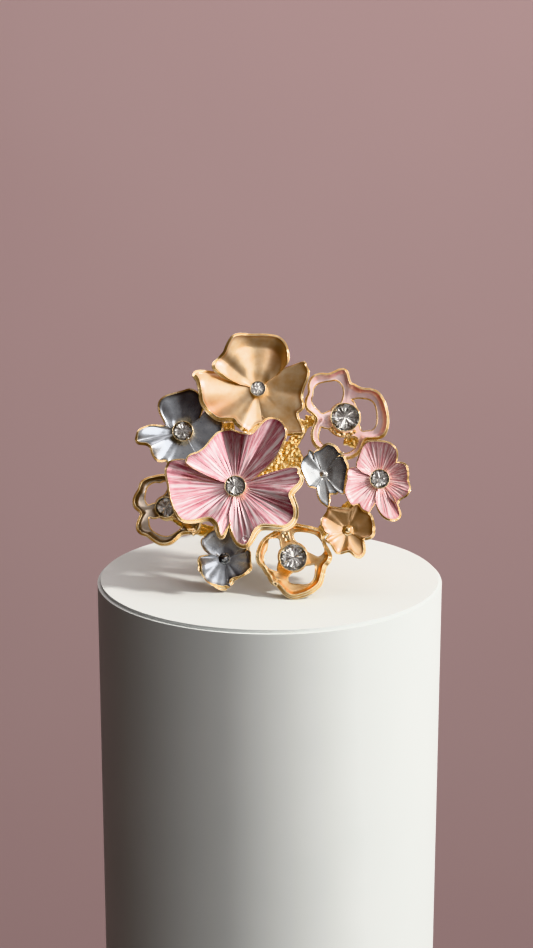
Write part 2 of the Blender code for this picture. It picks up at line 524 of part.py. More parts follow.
def gallery(face):
    middle = GALLERY_BACK + GALLERY_WALL / 2
    plate = disc(PLATE_RADIUS, GALLERY_WALL + PLATE_STEP_UP,
                 (*PLATE_AT, middle + PLATE_STEP_UP / 2), PLATE_STEPS)
    flat_frame("gallery_frame", plate, GALLERY_BARS, GALLERY_WASHERS, face)
    head_wall = GALLERY_WALL - 1.5 * BAR_STEP_DOWN
    head_bar = bar_mesh(RAIL_HEAD, RAIL_NECK, head_wall, middle)
    flat_frame("side_rail", head_bar, RAIL_BARS, RAIL_WASHERS, face)


def saddle(face):
    """The pad between the gallery's back and the band, hollowed to the band's outside."""
    wide, long, deep = SADDLE_SIZE
    top = GALLERY_BACK - GAP
    bm = bmesh.new()
    bmesh.ops.create_cube(bm, size=1.0)
    bmesh.ops.scale(bm, verts=bm.verts, vec=(wide * MM, long * MM, deep * MM))
    centre = (BAND_CENTRE_U * MM, BAND_CENTRE_V * MM, (top - deep / 2) * MM)
    bmesh.ops.translate(bm, verts=bm.verts, vec=centre)
    mesh = bpy.data.meshes.new("saddle")
    bm.to_mesh(mesh)
    bm.free()
    pad = add_object("shank_saddle", mesh, GOLD, face)
    round_off = pad.modifiers.new("round", "BEVEL")
    round_off.width = SADDLE_ROUNDING * MM
    round_off.segments = 2
    round_off.limit_method = "ANGLE"
    cutter = disc(BAND_RADIUS + BAND_WALL + GAP, 4 * wide, (0.0, 0.0, 0.0), HOLLOW_STEPS)
    hollow = helper("saddle_hollow", cutter, face)
    hollow.location = (BAND_CENTRE_U * MM, BAND_CENTRE_V * MM, BAND_CENTRE_W * MM)
    hollow.rotation_euler = (0.0, pi / 2, 0.0)
    boolean(pad, hollow, "DIFFERENCE")


def band(face):
    """The open shank: a flat strip bent round the finger, narrowing to rounded ends."""
    bm = bmesh.new()
    across = (-1.0, -BAND_FLAT, BAND_FLAT, 1.0)
    bmesh.ops.create_grid(bm, x_segments=BAND_STEPS, y_segments=len(across) - 1, size=1.0)
    columns = sorted({round(vert.co.y, 5) for vert in bm.verts})
    sweep = 360.0 - BAND_OPENING
    outer = BAND_RADIUS + BAND_WALL
    for vert in bm.verts:
        along = vert.co.x
        side = across[columns.index(round(vert.co.y, 5))]
        width = BAND_WIDTH + (BAND_END_WIDTH - BAND_WIDTH) * along ** 2
        tip = max(0.0, abs(along) - (1.0 - BAND_TIP)) / BAND_TIP
        width *= (1.0 - BAND_TIP_CUT * tip ** 2) ** 0.5
        angle = radians(90.0 + along * sweep / 2)
        radius = outer - (BAND_EDGE_DROP if abs(side) == 1.0 else 0.0)
        vert.co = (side * width / 2 * MM, radius * cos(angle) * MM, radius * sin(angle) * MM)
    bmesh.ops.recalc_face_normals(bm, faces=bm.faces)
    probe = bm.faces[:][0]
    outward = probe.normal.y * probe.calc_center_median().y
    outward += probe.normal.z * probe.calc_center_median().z
    if outward < 0:
        bmesh.ops.reverse_faces(bm, faces=bm.faces)
    mesh = bpy.data.meshes.new("finger_band")
    bm.to_mesh(mesh)
    bm.free()
    mesh.shade_smooth()
    strip = add_object("finger_band", mesh, GOLD, face,
                       (BAND_CENTRE_U, BAND_CENTRE_V, BAND_CENTRE_W))
    thicken(strip, BAND_WALL)


def face_plane():
    """The empty that carries the face: its own z is w, and the finger hole ends at the origin."""
    plane = bpy.data.objects.new("face", None)
    PARTS.objects.link(plane)
    turn = radians(90.0 - LEAN)
    plane.rotation_euler = (turn, 0.0, 0.0)
    u, v, w = BAND_CENTRE_U * MM, BAND_CENTRE_V * MM, BAND_CENTRE_W * MM
    plane.location = (-u, w * sin(turn) - v * cos(turn), -v * sin(turn) - w * cos(turn))
    return plane


def main():
    face = face_plane()
    band(face)
    saddle(face)
    gallery(face)
    for name in CLOSED_BLOSSOMS:
        closed_blossom(name, face)
    for name in OPEN_BLOSSOMS:
        open_blossom(name, face)
    for name, (hub, _, stone, _) in {**CLOSED_BLOSSOMS, **OPEN_BLOSSOMS}.items():
        post(name, face, hub)
        if stone:
            stone_and_cup(name, face, hub, stone)
        else:
            bead(name, face, hub)
    dew_stone(face)


for old in list(bpy.data.objects):
    bpy.data.objects.remove(old)
PARTS = bpy.data.collections.new("cocktail_ring")
CUTTERS = bpy.data.collections.new("cutters")
bpy.context.scene.collection.children.link(PARTS)
bpy.context.scene.collection.children.link(CUTTERS)
CUTTERS.hide_render = True
main()
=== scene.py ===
"""Looks for the cocktail ring: ten enamelled blossoms with cut stones on a granulated gallery.

Shapes are described on the ring's face: u runs to the right, v up the face and w out of it, in
millimetres. The face leans back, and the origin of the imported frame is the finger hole's centre.
"""

from math import cos, pi, radians, sin

import bmesh
import bpy
import numpy as np
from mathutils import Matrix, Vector, noise


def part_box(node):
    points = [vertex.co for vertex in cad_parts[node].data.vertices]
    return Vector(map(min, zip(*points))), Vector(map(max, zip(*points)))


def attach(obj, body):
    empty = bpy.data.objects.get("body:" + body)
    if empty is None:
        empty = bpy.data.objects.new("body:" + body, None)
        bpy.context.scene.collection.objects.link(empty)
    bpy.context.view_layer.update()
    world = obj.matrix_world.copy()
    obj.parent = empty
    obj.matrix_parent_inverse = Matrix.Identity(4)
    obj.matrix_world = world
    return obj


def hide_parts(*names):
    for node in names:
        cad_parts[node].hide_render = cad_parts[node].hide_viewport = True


MM = 0.001
LEAN = radians(25.0)             # how far the face leans back from upright
FINGER_U, FINGER_V, FINGER_W = -5.2, -2.73, -13.02   # the finger hole's centre on the face
GALLERY_BACK = -2.0              # w of the gallery's back
POST_FOOT = -0.88                # w of a post's lower end
POST_SHORT = 0.72                # a post's upper end lies this far behind its hub

STRETCH = 1.02                   # the face is laid out a little taller than its outlines
DROOP = 0.19                     # a rising petal also leans down the face by this share

RIM_REACH = 0.20                 # from the lip's outer foot to the outermost bead
SHELL_BACK = 0.45                # a shell's back lies this far behind the enamel's base
ENAMEL_RISE = 0.05               # the enamel lies this far over its tray
MENISCUS = 0.07                  # the enamel climbs this much more at its rim
CLIMB = 1.6                      # a petal's height grows as this power of the way out
COLUMN_STEP = 0.8                # degrees between a petal's columns
END_COLUMNS = 11.0               # over which a petal's rim grows to its full size
PETAL_ROWS = 34                  # points from a petal's start to its edge
START_SHARE = 0.62               # a petal starts at this share of its stone's radius
BEAD_START = 0.8                 # the radius that counts as a stone's where there is a bead
SEED = 7                         # of the fine ridges

OPEN_STEP = 1.2                  # degrees between an openwork blossom's columns
END_STEPS = (0.0, 0.15, 0.5, 1.0, 1.7, 2.6, 3.6)      # more columns, from an opening's ends
OPEN_START = 0.7                 # share of the stone's radius where its metal starts
SPOKE_SHARE = 0.45               # an opening takes this share of the way to its neighbours
OPENING_LIP, OPENING_RIM = 0.13, 0.6     # lip width and size of the rim round an opening
OPENING_MARGIN = 0.09            # enamel kept back from an opening
CRUST_LIFT, CRUST_SHARE, CRUST_EDGE = 0.2, 0.8, 0.4   # rise, size of its nuggets, sunk edge

PLEATS = 32                      # in the silvered back of a stone
NUGGET, NUGGET_RISE = 0.55, 0.2  # spacing and height of the granulation
BACK_SHARE = 0.35                # of that height on the gallery's back
GALLERY_CELL, SADDLE_CELL = 0.14, 0.13   # fineness of their surfaces
BAND_RADIUS, BAND_WALL, BAND_WIDTH, BAND_END = 8.7, 1.3, 4.0, 2.8
BAND_OPENING = 20.0              # degrees
BAND_STEPS, BAND_SIDES = 200, 28

FLOOR_Z, FLOOR_RADIUS, FLOOR_DEPTH = -10.0, 27.0, 90.0
FLOOR_AT = (5.0, -9.5)
WALL_HALF, WALL_LOW, WALL_HIGH, WALL_Y = 1500.0, -700.0, 1100.0, 600.0
EYE, AIM = (4.51, -279.2, 73.66), (4.51, -10.93, 6.76)
KEY_AZIMUTH, KEY_HEIGHT, KEY_DISTANCE = radians(17.0), radians(37.0), 0.6   # distance in metres

# Closed blossoms. stone: its radius, or None for a bead; rim: width of the rim's lip; heavy: size
# of the rim's section; grooves: depth of the fine ridges; shares: (bearing, share of the rim's full
# size); flares: (bearing, how far its bead flares out). A petal is (layer, outline, folds): how
# high it lies over the lowest ones, then outline points (bearing, reach, lift of the edge), then
# folds (bearing, half width in degrees, height, the share of the way out where it starts).
CLOSED = {}
CLOSED["top"] = {
    "stone": 1.15, "enamel": "champagne", "rim": 0.19, "heavy": 1, "grooves": 0,
    "shares": [(0, 0.8), (35, 0.6), (60, 0.9), (100, 1), (270, 1), (320, 0.8)],
    "flares": [(0, 0.1), (45, 0.05), (100, 0.12), (150, 0.2), (165, 0.35), (185, 0.3), (215, 0.28),
        (235, 0.2), (262, 0.2), (300, 0.1), (330, 0.1)],
    "petals": [
        (0, [(154, 5.6, 0.1), (158, 6.9, 0.3), (161, 7.9, 0.8), (163.5, 9.2, 1.3), (165.5, 10.2, 1.9),
          (167, 10.4, 2.1), (170, 9.9, 2.2), (177, 9.35, 2.2), (185, 9.15, 2.1), (192, 9.2, 1.9),
          (200, 8.95, 1.6), (208, 8.55, 1.3), (217, 8, 1), (224, 7, 0.8), (230.5, 6.4, 0.6),
          (239, 6.6, 0.5), (248, 6.8, 0.4), (260, 6.8, 0.1), (264, 6.2, 0), (272, 5.7, -0.1),
          (280, 5.2, -0.2)],
         [(206, 15, -0.8, 0.1), (247, 11, 0.6, 0.05), (156, 5, -0.7, 0.1)]),
        (0.1, [(278, 4.6, -0.2), (284, 5.6, -0.1), (290, 6.4, 0), (302.6, 8.5, 0.3), (310, 9.2, 0.5),
          (316.7, 9.8, 0.7), (319, 9.2, 0.7), (322.4, 8.1, 0.6), (327, 7.4, 0.6), (337.4, 7.7, 0.8),
          (348, 7.1, 0.8), (362, 7.25, 1), (371.5, 7.9, 1.2), (380, 8.4, 1.3), (385.5, 8.3, 1.3),
          (391.4, 8, 1.2), (393, 7.05, 1.1), (398, 5.4, 0.8)],
         [(352, 8, -0.25, 0.2), (374, 12, 0.3, 0.2)]),
        (0.38, [(36, 4, 0.4), (41, 6, 0.9), (49, 7.2, 1.2), (55, 7.95, 1.2), (62, 8.55, 1.1),
          (69, 8.8, 0.9), (78, 8.7, 0.7), (91, 8.6, 0.5), (99, 8.7, 0.45), (108, 9.1, 0.5),
          (115.5, 9.2, 0.6), (120, 8.9, 0.65), (126, 8.4, 0.7), (131, 8, 0.75), (139, 7.9, 0.85),
          (147, 8, 1.1), (151, 8.1, 1.3), (154.5, 7.7, 1.3), (157.5, 6.7, 1.1), (160.5, 5.4, 0.9),
          (165, 3.4, 0.6)],
         [(62, 16, -0.7, 0.05), (119, 15, 0.75, 0.05), (142, 8, -0.4, 0.2), (85, 50, 1.3, 0.72)])]}
CLOSED["left"] = {
    "stone": 1.55, "enamel": "silver_grey", "rim": 0.15, "heavy": 0.85, "grooves": 0,
    "shares": [(0, 0.5), (60, 0.5), (100, 0.55), (140, 0.6), (172, 0.5), (188, 1), (215, 0.8), (240, 0.8),
        (262, 0.6)],
    "flares": [(0, 0.05), (90, 0.15), (135, 0.15), (190, 0.12), (240, 0.15), (300, 0.05)],
    "petals": [
        (0, [(287, 4.8, 0), (294, 5.4, 0), (300, 5.8, 0), (320, 6, 0), (340, 6, 0.1), (360, 6.1, 0.15),
          (372, 6.3, 0.1), (384, 6, 0.1), (394, 5.4, 0.15), (402, 4.6, 0.2)],
         [(320, 14, -0.3, 0.1)]),
        (0.1, [(158, 2.8, 0.4), (163, 3.1, 0.5), (167, 3.6, 0.6), (169, 4.85, 0.8), (174, 6, 1),
          (179, 6.9, 1.3), (186, 7.3, 1.6), (191, 7.5, 1.7), (195, 7.25, 1.65), (198, 6.4, 1.7),
          (204, 5.8, 1.8), (214, 5.9, 1.65), (222, 6.1, 1.3), (232, 6, 0.8), (238, 5.5, 0.6),
          (245, 5.55, 0.5), (249, 5.9, 0.45), (258, 5.5, 0.35), (274, 5, 0.25), (288, 4.9, 0.2),
          (300, 4.8, 0.15)],
         [(179, 6, 0.3, 0.4), (193, 6, -0.4, 0.15)]),
        (0.3, [(40, 3.4, 0.6), (52, 5.2, 1.2), (62, 6.1, 1.7), (71, 6.6, 1.9), (80, 6.75, 1.8),
          (90, 6.4, 1.5), (106, 6.2, 1.1), (118, 6.25, 0.9), (127, 6.1, 0.7), (133, 5.7, 0.55),
          (139, 5, 0.4), (146, 4, 0.3), (159, 3, 0.2)],
         [(94, 13, -0.35, 0.1), (125, 10, 0.2, 0.2)])]}
CLOSED["centre"] = {
    "stone": 1.55, "enamel": "rose", "rim": 0.17, "heavy": 1, "grooves": 0.16,
    "shares": [(2, 0.9), (10, 0.35), (40, 0.7), (90, 0.8), (130, 0.6), (150, 0.45), (163, 0.4), (175, 0.6),
        (200, 0.7), (225, 1), (350, 1)],
    "flares": [(10, 0.35), (19, 0.3), (24, 0.05), (60, 0.05), (150, 0.08), (165, 0.2), (200, 0.05),
        (230, 0.35), (250, 0.4), (264, 0.1), (280, 0.25), (290, 0.55), (305, 0.6), (330, 0.5), (350, 0.6)],
    "petals": [
        (0, [(149, 7.4, 0.7), (153, 9, 0.9), (156, 9.9, 1), (160, 10.8, 1.1), (163, 10.9, 1.1),
          (166.7, 11, 1.1), (172, 10.7, 1.3), (179, 10.3, 1.5), (188, 10.1, 1.7), (195.5, 10, 1.75),
          (203, 9.9, 1.7), (210, 9.8, 1.6), (215, 9.4, 1.4), (220, 8.4, 1.1), (226, 7.2, 0.9),
          (231, 6.65, 0.85), (238.5, 6.6, 0.85), (247, 7.1, 0.95), (252, 8, 1.05), (256, 8.1, 1),
          (259, 6.7, 0.8), (263, 5, 0.6)],
         [(166, 5, -0.35, 0.2), (226, 10, -0.3, 0.15), (245, 8, 0.2, 0.2)]),
        (0.2, [(258, 4.4, 0.5), (262, 5.8, 0.7), (265, 7, 0.85), (270, 8.4, 1.05), (276, 9.25, 1.3),
          (280.5, 9.4, 1.45), (286.5, 8.8, 1.4), (291, 8.2, 1.3), (299, 7.75, 1.1), (308, 8.1, 0.95),
          (315, 9.05, 0.9), (321, 10.2, 0.85), (327, 10.65, 0.8), (333, 10.6, 0.8), (339, 10.2, 0.9),
          (346, 9.4, 1.05), (351, 9, 1.05), (356, 9.2, 0.9), (363, 10.2, 0.7), (366, 10.4, 0.7),
          (372, 10.05, 0.75), (377, 9.8, 0.8), (379.5, 8, 0.75), (382, 4, 0.55)],
         [(330, 8, -0.45, 0.2), (313, 8, 0.25, 0.2), (351, 9, 0.3, 0.2), (266, 7, -0.2, 0.2)]),
        (0.35, [(20, 2.6, 0.4), (27, 4.2, 0.6), (31, 5.8, 0.8), (36, 7.95, 1.1), (41, 9.5, 1.3),
          (45, 11, 1.45), (50, 11.8, 1.5), (55.5, 12.15, 1.5), (61, 11.9, 1.5), (66, 11, 1.55),
          (68.4, 9.8, 1.6), (71, 8.8, 1.65), (77, 8.3, 1.7), (86, 8.3, 1.3), (94, 8.7, 1), (101, 8.75, 0.8),
          (107, 8.7, 0.8), (117.5, 8.1, 1.1), (128, 7.6, 1.5), (138, 7.75, 1.9), (148, 8.5, 2.3),
          (152, 8.4, 2.3), (156, 7.7, 2.1), (158, 5.75, 1.5), (161, 3, 0.8)],
         [(79, 8, 0.45, 0.15), (60, 6, -0.5, 0.1), (104, 8, -0.45, 0.1)])]}
CLOSED["bottom_left"] = {
    "stone": None, "enamel": "silver_grey", "rim": 0.12, "heavy": 0.85, "grooves": 0,
    "shares": [(10, 0.5), (25, 0.3), (160, 0.3), (180, 0.8), (200, 0.8), (230, 0.6), (250, 1), (340, 0.9)],
    "flares": [(0, 0), (20, 0), (175, 0.1), (190, 0.4), (205, 0.45), (215, 0.1), (232, 0), (245, 0.1),
        (262, 0.45), (285, 0.6), (300, 0.25), (318, 0.1), (335, 0.25), (350, 0.05)],
    "petals": [
        (0, [(162, 2.3, 0.35), (170, 2.9, 0.4), (176, 3.9, 0.6), (182, 4.15, 0.75), (190, 4.2, 0.85),
          (197, 4.2, 0.9), (203, 4.4, 0.95), (212, 4.3, 0.9), (222, 4.3, 0.7), (232, 4.4, 0.5),
          (242, 4.45, 0.3), (252, 4.6, 0.1), (262, 4.8, 0), (270, 4.85, -0.1), (276, 4.7, -0.1),
          (282, 4.35, 0)],
         [(222, 12, -0.25, 0.1)]),
        (0.1, [(276, 3.6, -0.05), (281, 4.3, 0), (287, 4, 0.1), (295, 3.75, 0.2), (305, 3.75, 0.3),
          (315, 3.9, 0.4), (325, 4.15, 0.4), (333, 4.4, 0.35), (340, 4.55, 0.3), (347, 4.3, 0.2),
          (354, 4.15, 0.15), (362, 4.1, 0.1), (370, 4.15, 0.05), (378, 4, 0.05), (384, 3.2, 0.05)],
         [(306, 8, -0.2, 0.1), (350, 8, -0.15, 0.3)]),
        (0.25, [(18, 3.3, 0.3), (25, 3.9, 0.25), (40, 4.4, 0.2), (60, 4.7, 0.3), (80, 4.8, 0.45),
          (100, 4.8, 0.55), (118, 4.75, 0.55), (133, 4.6, 0.6), (140, 4.65, 0.65), (148, 4.2, 0.6),
          (155, 3.5, 0.5), (163, 2.6, 0.4)],
         [(95, 16, -0.3, 0.1)])]}
CLOSED["lower_right"] = {
    "stone": None, "enamel": "bronze", "rim": 0.15, "heavy": 0.85, "grooves": 0,
    "shares": [(0, 0.8), (90, 0.7), (200, 0.6), (260, 0.9), (300, 0.9)],
    "flares": [(0, 0.25), (30, 0.2), (60, 0.1), (90, 0.12), (130, 0.1), (200, 0.1), (260, 0.1), (300, 0.12),
        (330, 0.15)],
    "petals": [
        (0, [(188, 2.8, 0.7), (194, 3.1, 0.9), (202.8, 3.73, 1.15), (214.8, 3.5, 1.15), (223.7, 3.5, 1),
          (235.9, 3.76, 0.7), (244.4, 3.92, 0.5), (252.5, 3.78, 0.35), (260.5, 3.51, 0.55),
          (268.4, 3.33, 0.9), (277.8, 3.46, 1.05), (282.3, 3.83, 1), (287.7, 4.29, 0.9),
          (293.1, 4.56, 0.75), (301.2, 4.54, 0.5), (309.3, 4.2, 0.35), (315.8, 3.67, 0.3), (323, 3.2, 0.25),
          (331, 2.7, 0.2)],
         []),
        (0.12, [(72, 3.4, 0.8), (76.3, 4.04, 1), (84.7, 3.6, 1), (94.9, 3.55, 1), (105.4, 3.75, 0.95),
          (113.5, 3.9, 0.85), (124.5, 4.46, 0.75), (130.2, 4.68, 0.65), (135, 4.46, 0.55),
          (145.5, 4.34, 0.5), (159.4, 4.41, 0.65), (167.4, 4.24, 0.75), (175.6, 3.86, 0.85),
          (185.6, 3.38, 0.8), (191, 2.6, 0.5)],
         [(152, 9, -0.3, 0.05), (77, 4, 0.2, 0.05)]),
        (0.22, [(327, 2.6, 0.5), (335.8, 3.18, 0.7), (344.7, 3.88, 0.8), (352.7, 4.19, 0.75),
          (360.3, 4.2, 0.7), (372.5, 4.3, 0.65), (382.8, 4.36, 0.65), (392.6, 4.44, 0.7),
          (400.2, 4.35, 0.75), (408.9, 4.1, 0.7), (417.3, 4.08, 0.65), (424.6, 4.34, 0.6),
          (430.2, 4.47, 0.6), (436, 4.1, 0.6), (440, 3, 0.5)],
         [(385, 9, -0.2, 0.1), (432, 5, 0.2, 0.05)])]}
CLOSED["inner_right"] = {
    "stone": None, "enamel": "silver", "rim": 0.12, "heavy": 0.75, "grooves": 0,
    "shares": [(0, 0.5), (45, 0.8), (90, 0.8), (115, 0.35), (200, 0.3), (260, 0.6), (310, 0.6)],
    "flares": [(0, 0.15), (60, 0.25), (90, 0.25), (115, 0.05), (180, 0.05), (250, 0.1), (310, 0.1)],
    "petals": [
        (0, [(43, 3.6, 0.8), (46.2, 4.18, 0.85), (57.2, 4.5, 0.95), (65.7, 4.81, 1.15), (73.9, 4.96, 1.25),
          (82.8, 4.96, 1.25), (89.8, 4.54, 1.1), (96, 4.18, 1), (109.3, 3.85, 0.95), (116, 3.6, 0.9),
          (122, 3, 0.8)],
         [(98, 16, -0.15, 0.1)]),
        (0.02, [(242, 2.3, 0.4), (249, 2.93, 0.5), (255.6, 3.6, 0.65), (264.2, 4.35, 0.8), (272, 4.78, 0.9),
          (278, 4.98, 0.95), (281, 4.2, 0.8), (284, 3.5, 0.7), (292.7, 3.38, 0.6), (305.8, 3.65, 0.7),
          (313, 3.2, 0.65)],
         [(272, 16, 0.2, 0.1)]),
        (0.08, [(112, 3.4, 0.7), (118, 4.15, 0.8), (120.7, 4.4, 0.8), (126.5, 4.05, 0.75),
          (138.8, 4.01, 0.65), (149, 3.96, 0.6), (158.2, 3.86, 0.6), (165.7, 3.66, 0.6), (177.5, 3.28, 0.6),
          (194.6, 3.04, 0.6), (208.8, 3, 0.55), (219.2, 3.01, 0.5), (229.9, 2.68, 0.4), (240, 2.5, 0.3),
          (248, 2.1, 0.25)],
         [(150, 14, -0.1, 0.1)]),
        (0.2, [(308, 3.2, 0.9), (314.3, 4.25, 1.1), (322.7, 4.02, 0.9), (334.5, 3.71, 0.65),
          (346.5, 3.6, 0.45), (357.5, 3.65, 0.4), (366.8, 3.75, 0.4), (376.2, 4.04, 0.5),
          (385.9, 4.14, 0.6), (392.9, 4.17, 0.75), (406.2, 4.18, 0.85), (413, 3.3, 0.7)],
         [(12, 12, 0.2, 0.6)])]}
CLOSED["right"] = {
    "stone": 1.45, "enamel": "pink", "rim": 0.12, "heavy": 0.75, "grooves": 0.16,
    "shares": [(0, 0.8), (60, 0.9), (120, 0.8), (150, 0.45), (165, 0.3), (250, 0.3), (268, 0.8),
        (330, 0.8)],
    "flares": [(0, 0.1), (20, 0.15), (60, 0.1), (90, 0.15), (130, 0.05), (200, 0.02), (260, 0.05),
        (290, 0.15), (330, 0.1)],
    "petals": [
        (0, [(152, 3.9, 0.75), (161.2, 4.9, 0.9), (172.7, 4.96, 0.9), (181.4, 4.96, 0.9),
          (191.6, 5.31, 0.95), (198.1, 5.57, 1), (207.6, 5.76, 1.05), (217.2, 5.82, 1.05), (224.5, 5.7, 1),
          (228.9, 5.04, 0.9), (237.5, 5.29, 1), (247.1, 5.36, 1.05), (252.2, 5.28, 1), (254.5, 4.63, 0.85),
          (258, 4, 0.7), (263, 2.9, 0.5)],
         [(230, 7, -0.15, 0.3), (163, 7, -0.2, 0.1)]),
        (0.05, [(299, 3.4, 0.7), (304.6, 4.7, 0.85), (311.3, 4.56, 0.85), (321.2, 4.71, 0.9),
          (330.2, 4.99, 1), (339.9, 5.01, 1), (345.4, 4.96, 0.95), (350.5, 4.73, 0.95), (358.4, 4.52, 0.9),
          (367.9, 4.61, 0.95), (379.4, 4.74, 1.05), (387.8, 4.79, 1.1), (393.8, 4.53, 1),
          (400.1, 4.06, 0.9), (406, 3.4, 0.8)],
         [(355, 9, -0.25, 0.1), (335, 9, 0.25, 0.2), (384, 8, 0.15, 0.3)]),
        (0.15, [(258, 3, 0.5), (263.3, 4.11, 0.65), (267.7, 4.84, 0.85), (273.7, 5.7, 1.05),
          (281, 6.37, 1.25), (288.7, 6.75, 1.4), (294.6, 6.78, 1.45), (299.8, 6.34, 1.35), (302, 5.59, 1.2),
          (304.6, 4.6, 0.95), (308, 3.3, 0.7)],
         [(297, 6, -0.65, 0.1), (281, 7, 0.2, 0.2)]),
        (0.25, [(43, 3.2, 0.8), (47, 3.9, 0.9), (52.3, 4.61, 1.15), (58.8, 5.26, 1.4), (66.4, 5.63, 1.6),
          (73.3, 5.88, 1.7), (82.8, 5.96, 1.7), (90, 6, 1.7), (99, 6.08, 1.65), (108, 6.12, 1.6),
          (116.4, 5.76, 1.4), (126.3, 5.1, 1.15), (136.2, 4.59, 0.95), (146, 4.3, 0.85), (152, 3.9, 0.75),
          (158, 2.9, 0.6)],
         [(66, 9, 0.2, 0.3), (110, 12, -0.15, 0.1)])]}

# Openwork blossoms. wall, wall_width: how high and how wide the sheet turns up at its edge; shade:
# (bearing, how much painted shade darkens the enamel up that wall); crust: (first bearing, last
# bearing, inner radius, outer radius) of a granulated patch. A point is (bearing, an opening's inner
# radius, its outer radius, reach, lift of the edge), or (bearing, reach, lift) where a spoke runs out.
OPENWORK = {}
OPENWORK["lower_left"] = {
    "stone": 1.55, "enamel": "gunmetal", "rim": 0.15, "wall": 0.45, "wall_width": 0.7,
    "shade": [(0, 0.6), (180, 0.6)],
    "crust": [(314, 345, 3.3, 6.1)],
    "flares": [(0, 0.1), (120, 0.04), (180, 0.1), (230, 0.08), (275, 0.15), (300, 0.2)],
    "points": [(0, 1.75, 4, 5.4, 0.3), (16, 1.75, 4.2, 5.5, 0.3), (34, 1.75, 4.2, 5.5, 0.3),
        (51, 1.75, 4, 5.3, 0.3), (66, 2.5, 3.5, 5, 0.4), (78, 4.8, 0.5), (90, 2.2, 4, 5.1, 0.6),
        (104, 1.8, 3.9, 5.2, 0.7), (112, 1.75, 4.15, 5.25, 0.8), (122, 1.75, 4.25, 5.45, 0.9),
        (134, 1.75, 4.2, 5.55, 1), (146, 1.75, 3.8, 5.15, 1), (158, 1.75, 3.5, 5.2, 0.9),
        (169, 2.35, 3.1, 5.2, 0.8), (178, 4.95, 0.7), (189, 4.2, 0.6), (196, 4.1, 0.5), (205, 4.7, 0.6),
        (218, 2.7, 3.3, 5.6, 0.8), (227, 2.3, 3.7, 5.6, 0.9), (238, 1.75, 4.05, 5.3, 0.9),
        (249, 1.75, 4.2, 5.5, 0.8), (264, 1.75, 4.4, 5.85, 0.7), (279, 1.75, 4.4, 5.7, 0.6),
        (290, 1.75, 4.2, 5.25, 0.5), (302, 1.75, 4.05, 5, 0.4), (313, 2.6, 3.8, 5.5, 0.4), (322, 6.4, 0.3),
        (334, 5.9, 0.3), (347, 2.5, 3.6, 5.3, 0.3)]}
OPENWORK["bottom"] = {
    "stone": 2.06, "enamel": "amber", "rim": 0.2, "wall": 0.4, "wall_width": 0.7,
    "shade": [(0, 1), (60, 0.7), (130, 0.3), (250, 0.2), (300, 0.9)],
    "crust": [(97, 119, 2.3, 4.9), (228, 240, 3.7, 5)],
    "flares": [(0, 0.3), (60, 0.15), (120, 0.1), (190, 0.3), (240, 0.25), (280, 0.4), (330, 0.35)],
    "points": [(3, 3.2, 4.4, 5.95, 0.4), (10, 2.7, 4.9, 5.75, 0.3), (20, 2.25, 5, 5.5, 0.3),
        (32, 2.25, 5, 5.65, 0.3), (43, 2.25, 4.9, 6.1, 0.3), (53, 2.25, 4.6, 5.7, 0.4),
        (63, 2.25, 4.3, 5.4, 0.5), (75, 2.25, 4.05, 5.2, 0.4), (86, 2.6, 3.8, 5.2, 0.3), (96, 5, 0.3),
        (108, 4.9, 0.3), (121, 4.9, 0.3), (132, 2.9, 4, 5, 0.3), (142, 2.25, 4.6, 5.25, 0.4),
        (154, 2.25, 4.35, 5.5, 0.5), (164, 2.25, 4.2, 5.6, 0.7), (174, 2.25, 4.45, 5.7, 0.9),
        (186, 2.25, 4.55, 5.62, 0.9), (197, 2.25, 4.4, 5.1, 0.8), (208, 2.6, 4, 5, 0.8),
        (218, 3, 3.5, 4.93, 0.8), (229, 5.2, 0.9), (240, 5.05, 1), (251, 5.45, 1.1),
        (259, 2.6, 3.85, 5.9, 1.2), (269, 2.25, 4.05, 6.22, 1.3), (281, 2.25, 4.2, 6.18, 1.3),
        (293, 2.25, 4.5, 6.12, 1.3), (304, 2.25, 4.7, 6.07, 1.2), (315, 2.25, 4.5, 5.98, 1.1),
        (325, 2.25, 4.1, 5.65, 1), (333, 2.6, 3.85, 5.42, 0.8), (338, 3, 3.7, 5.33, 0.7), (347, 5.38, 0.6),
        (356, 5.85, 0.6)]}
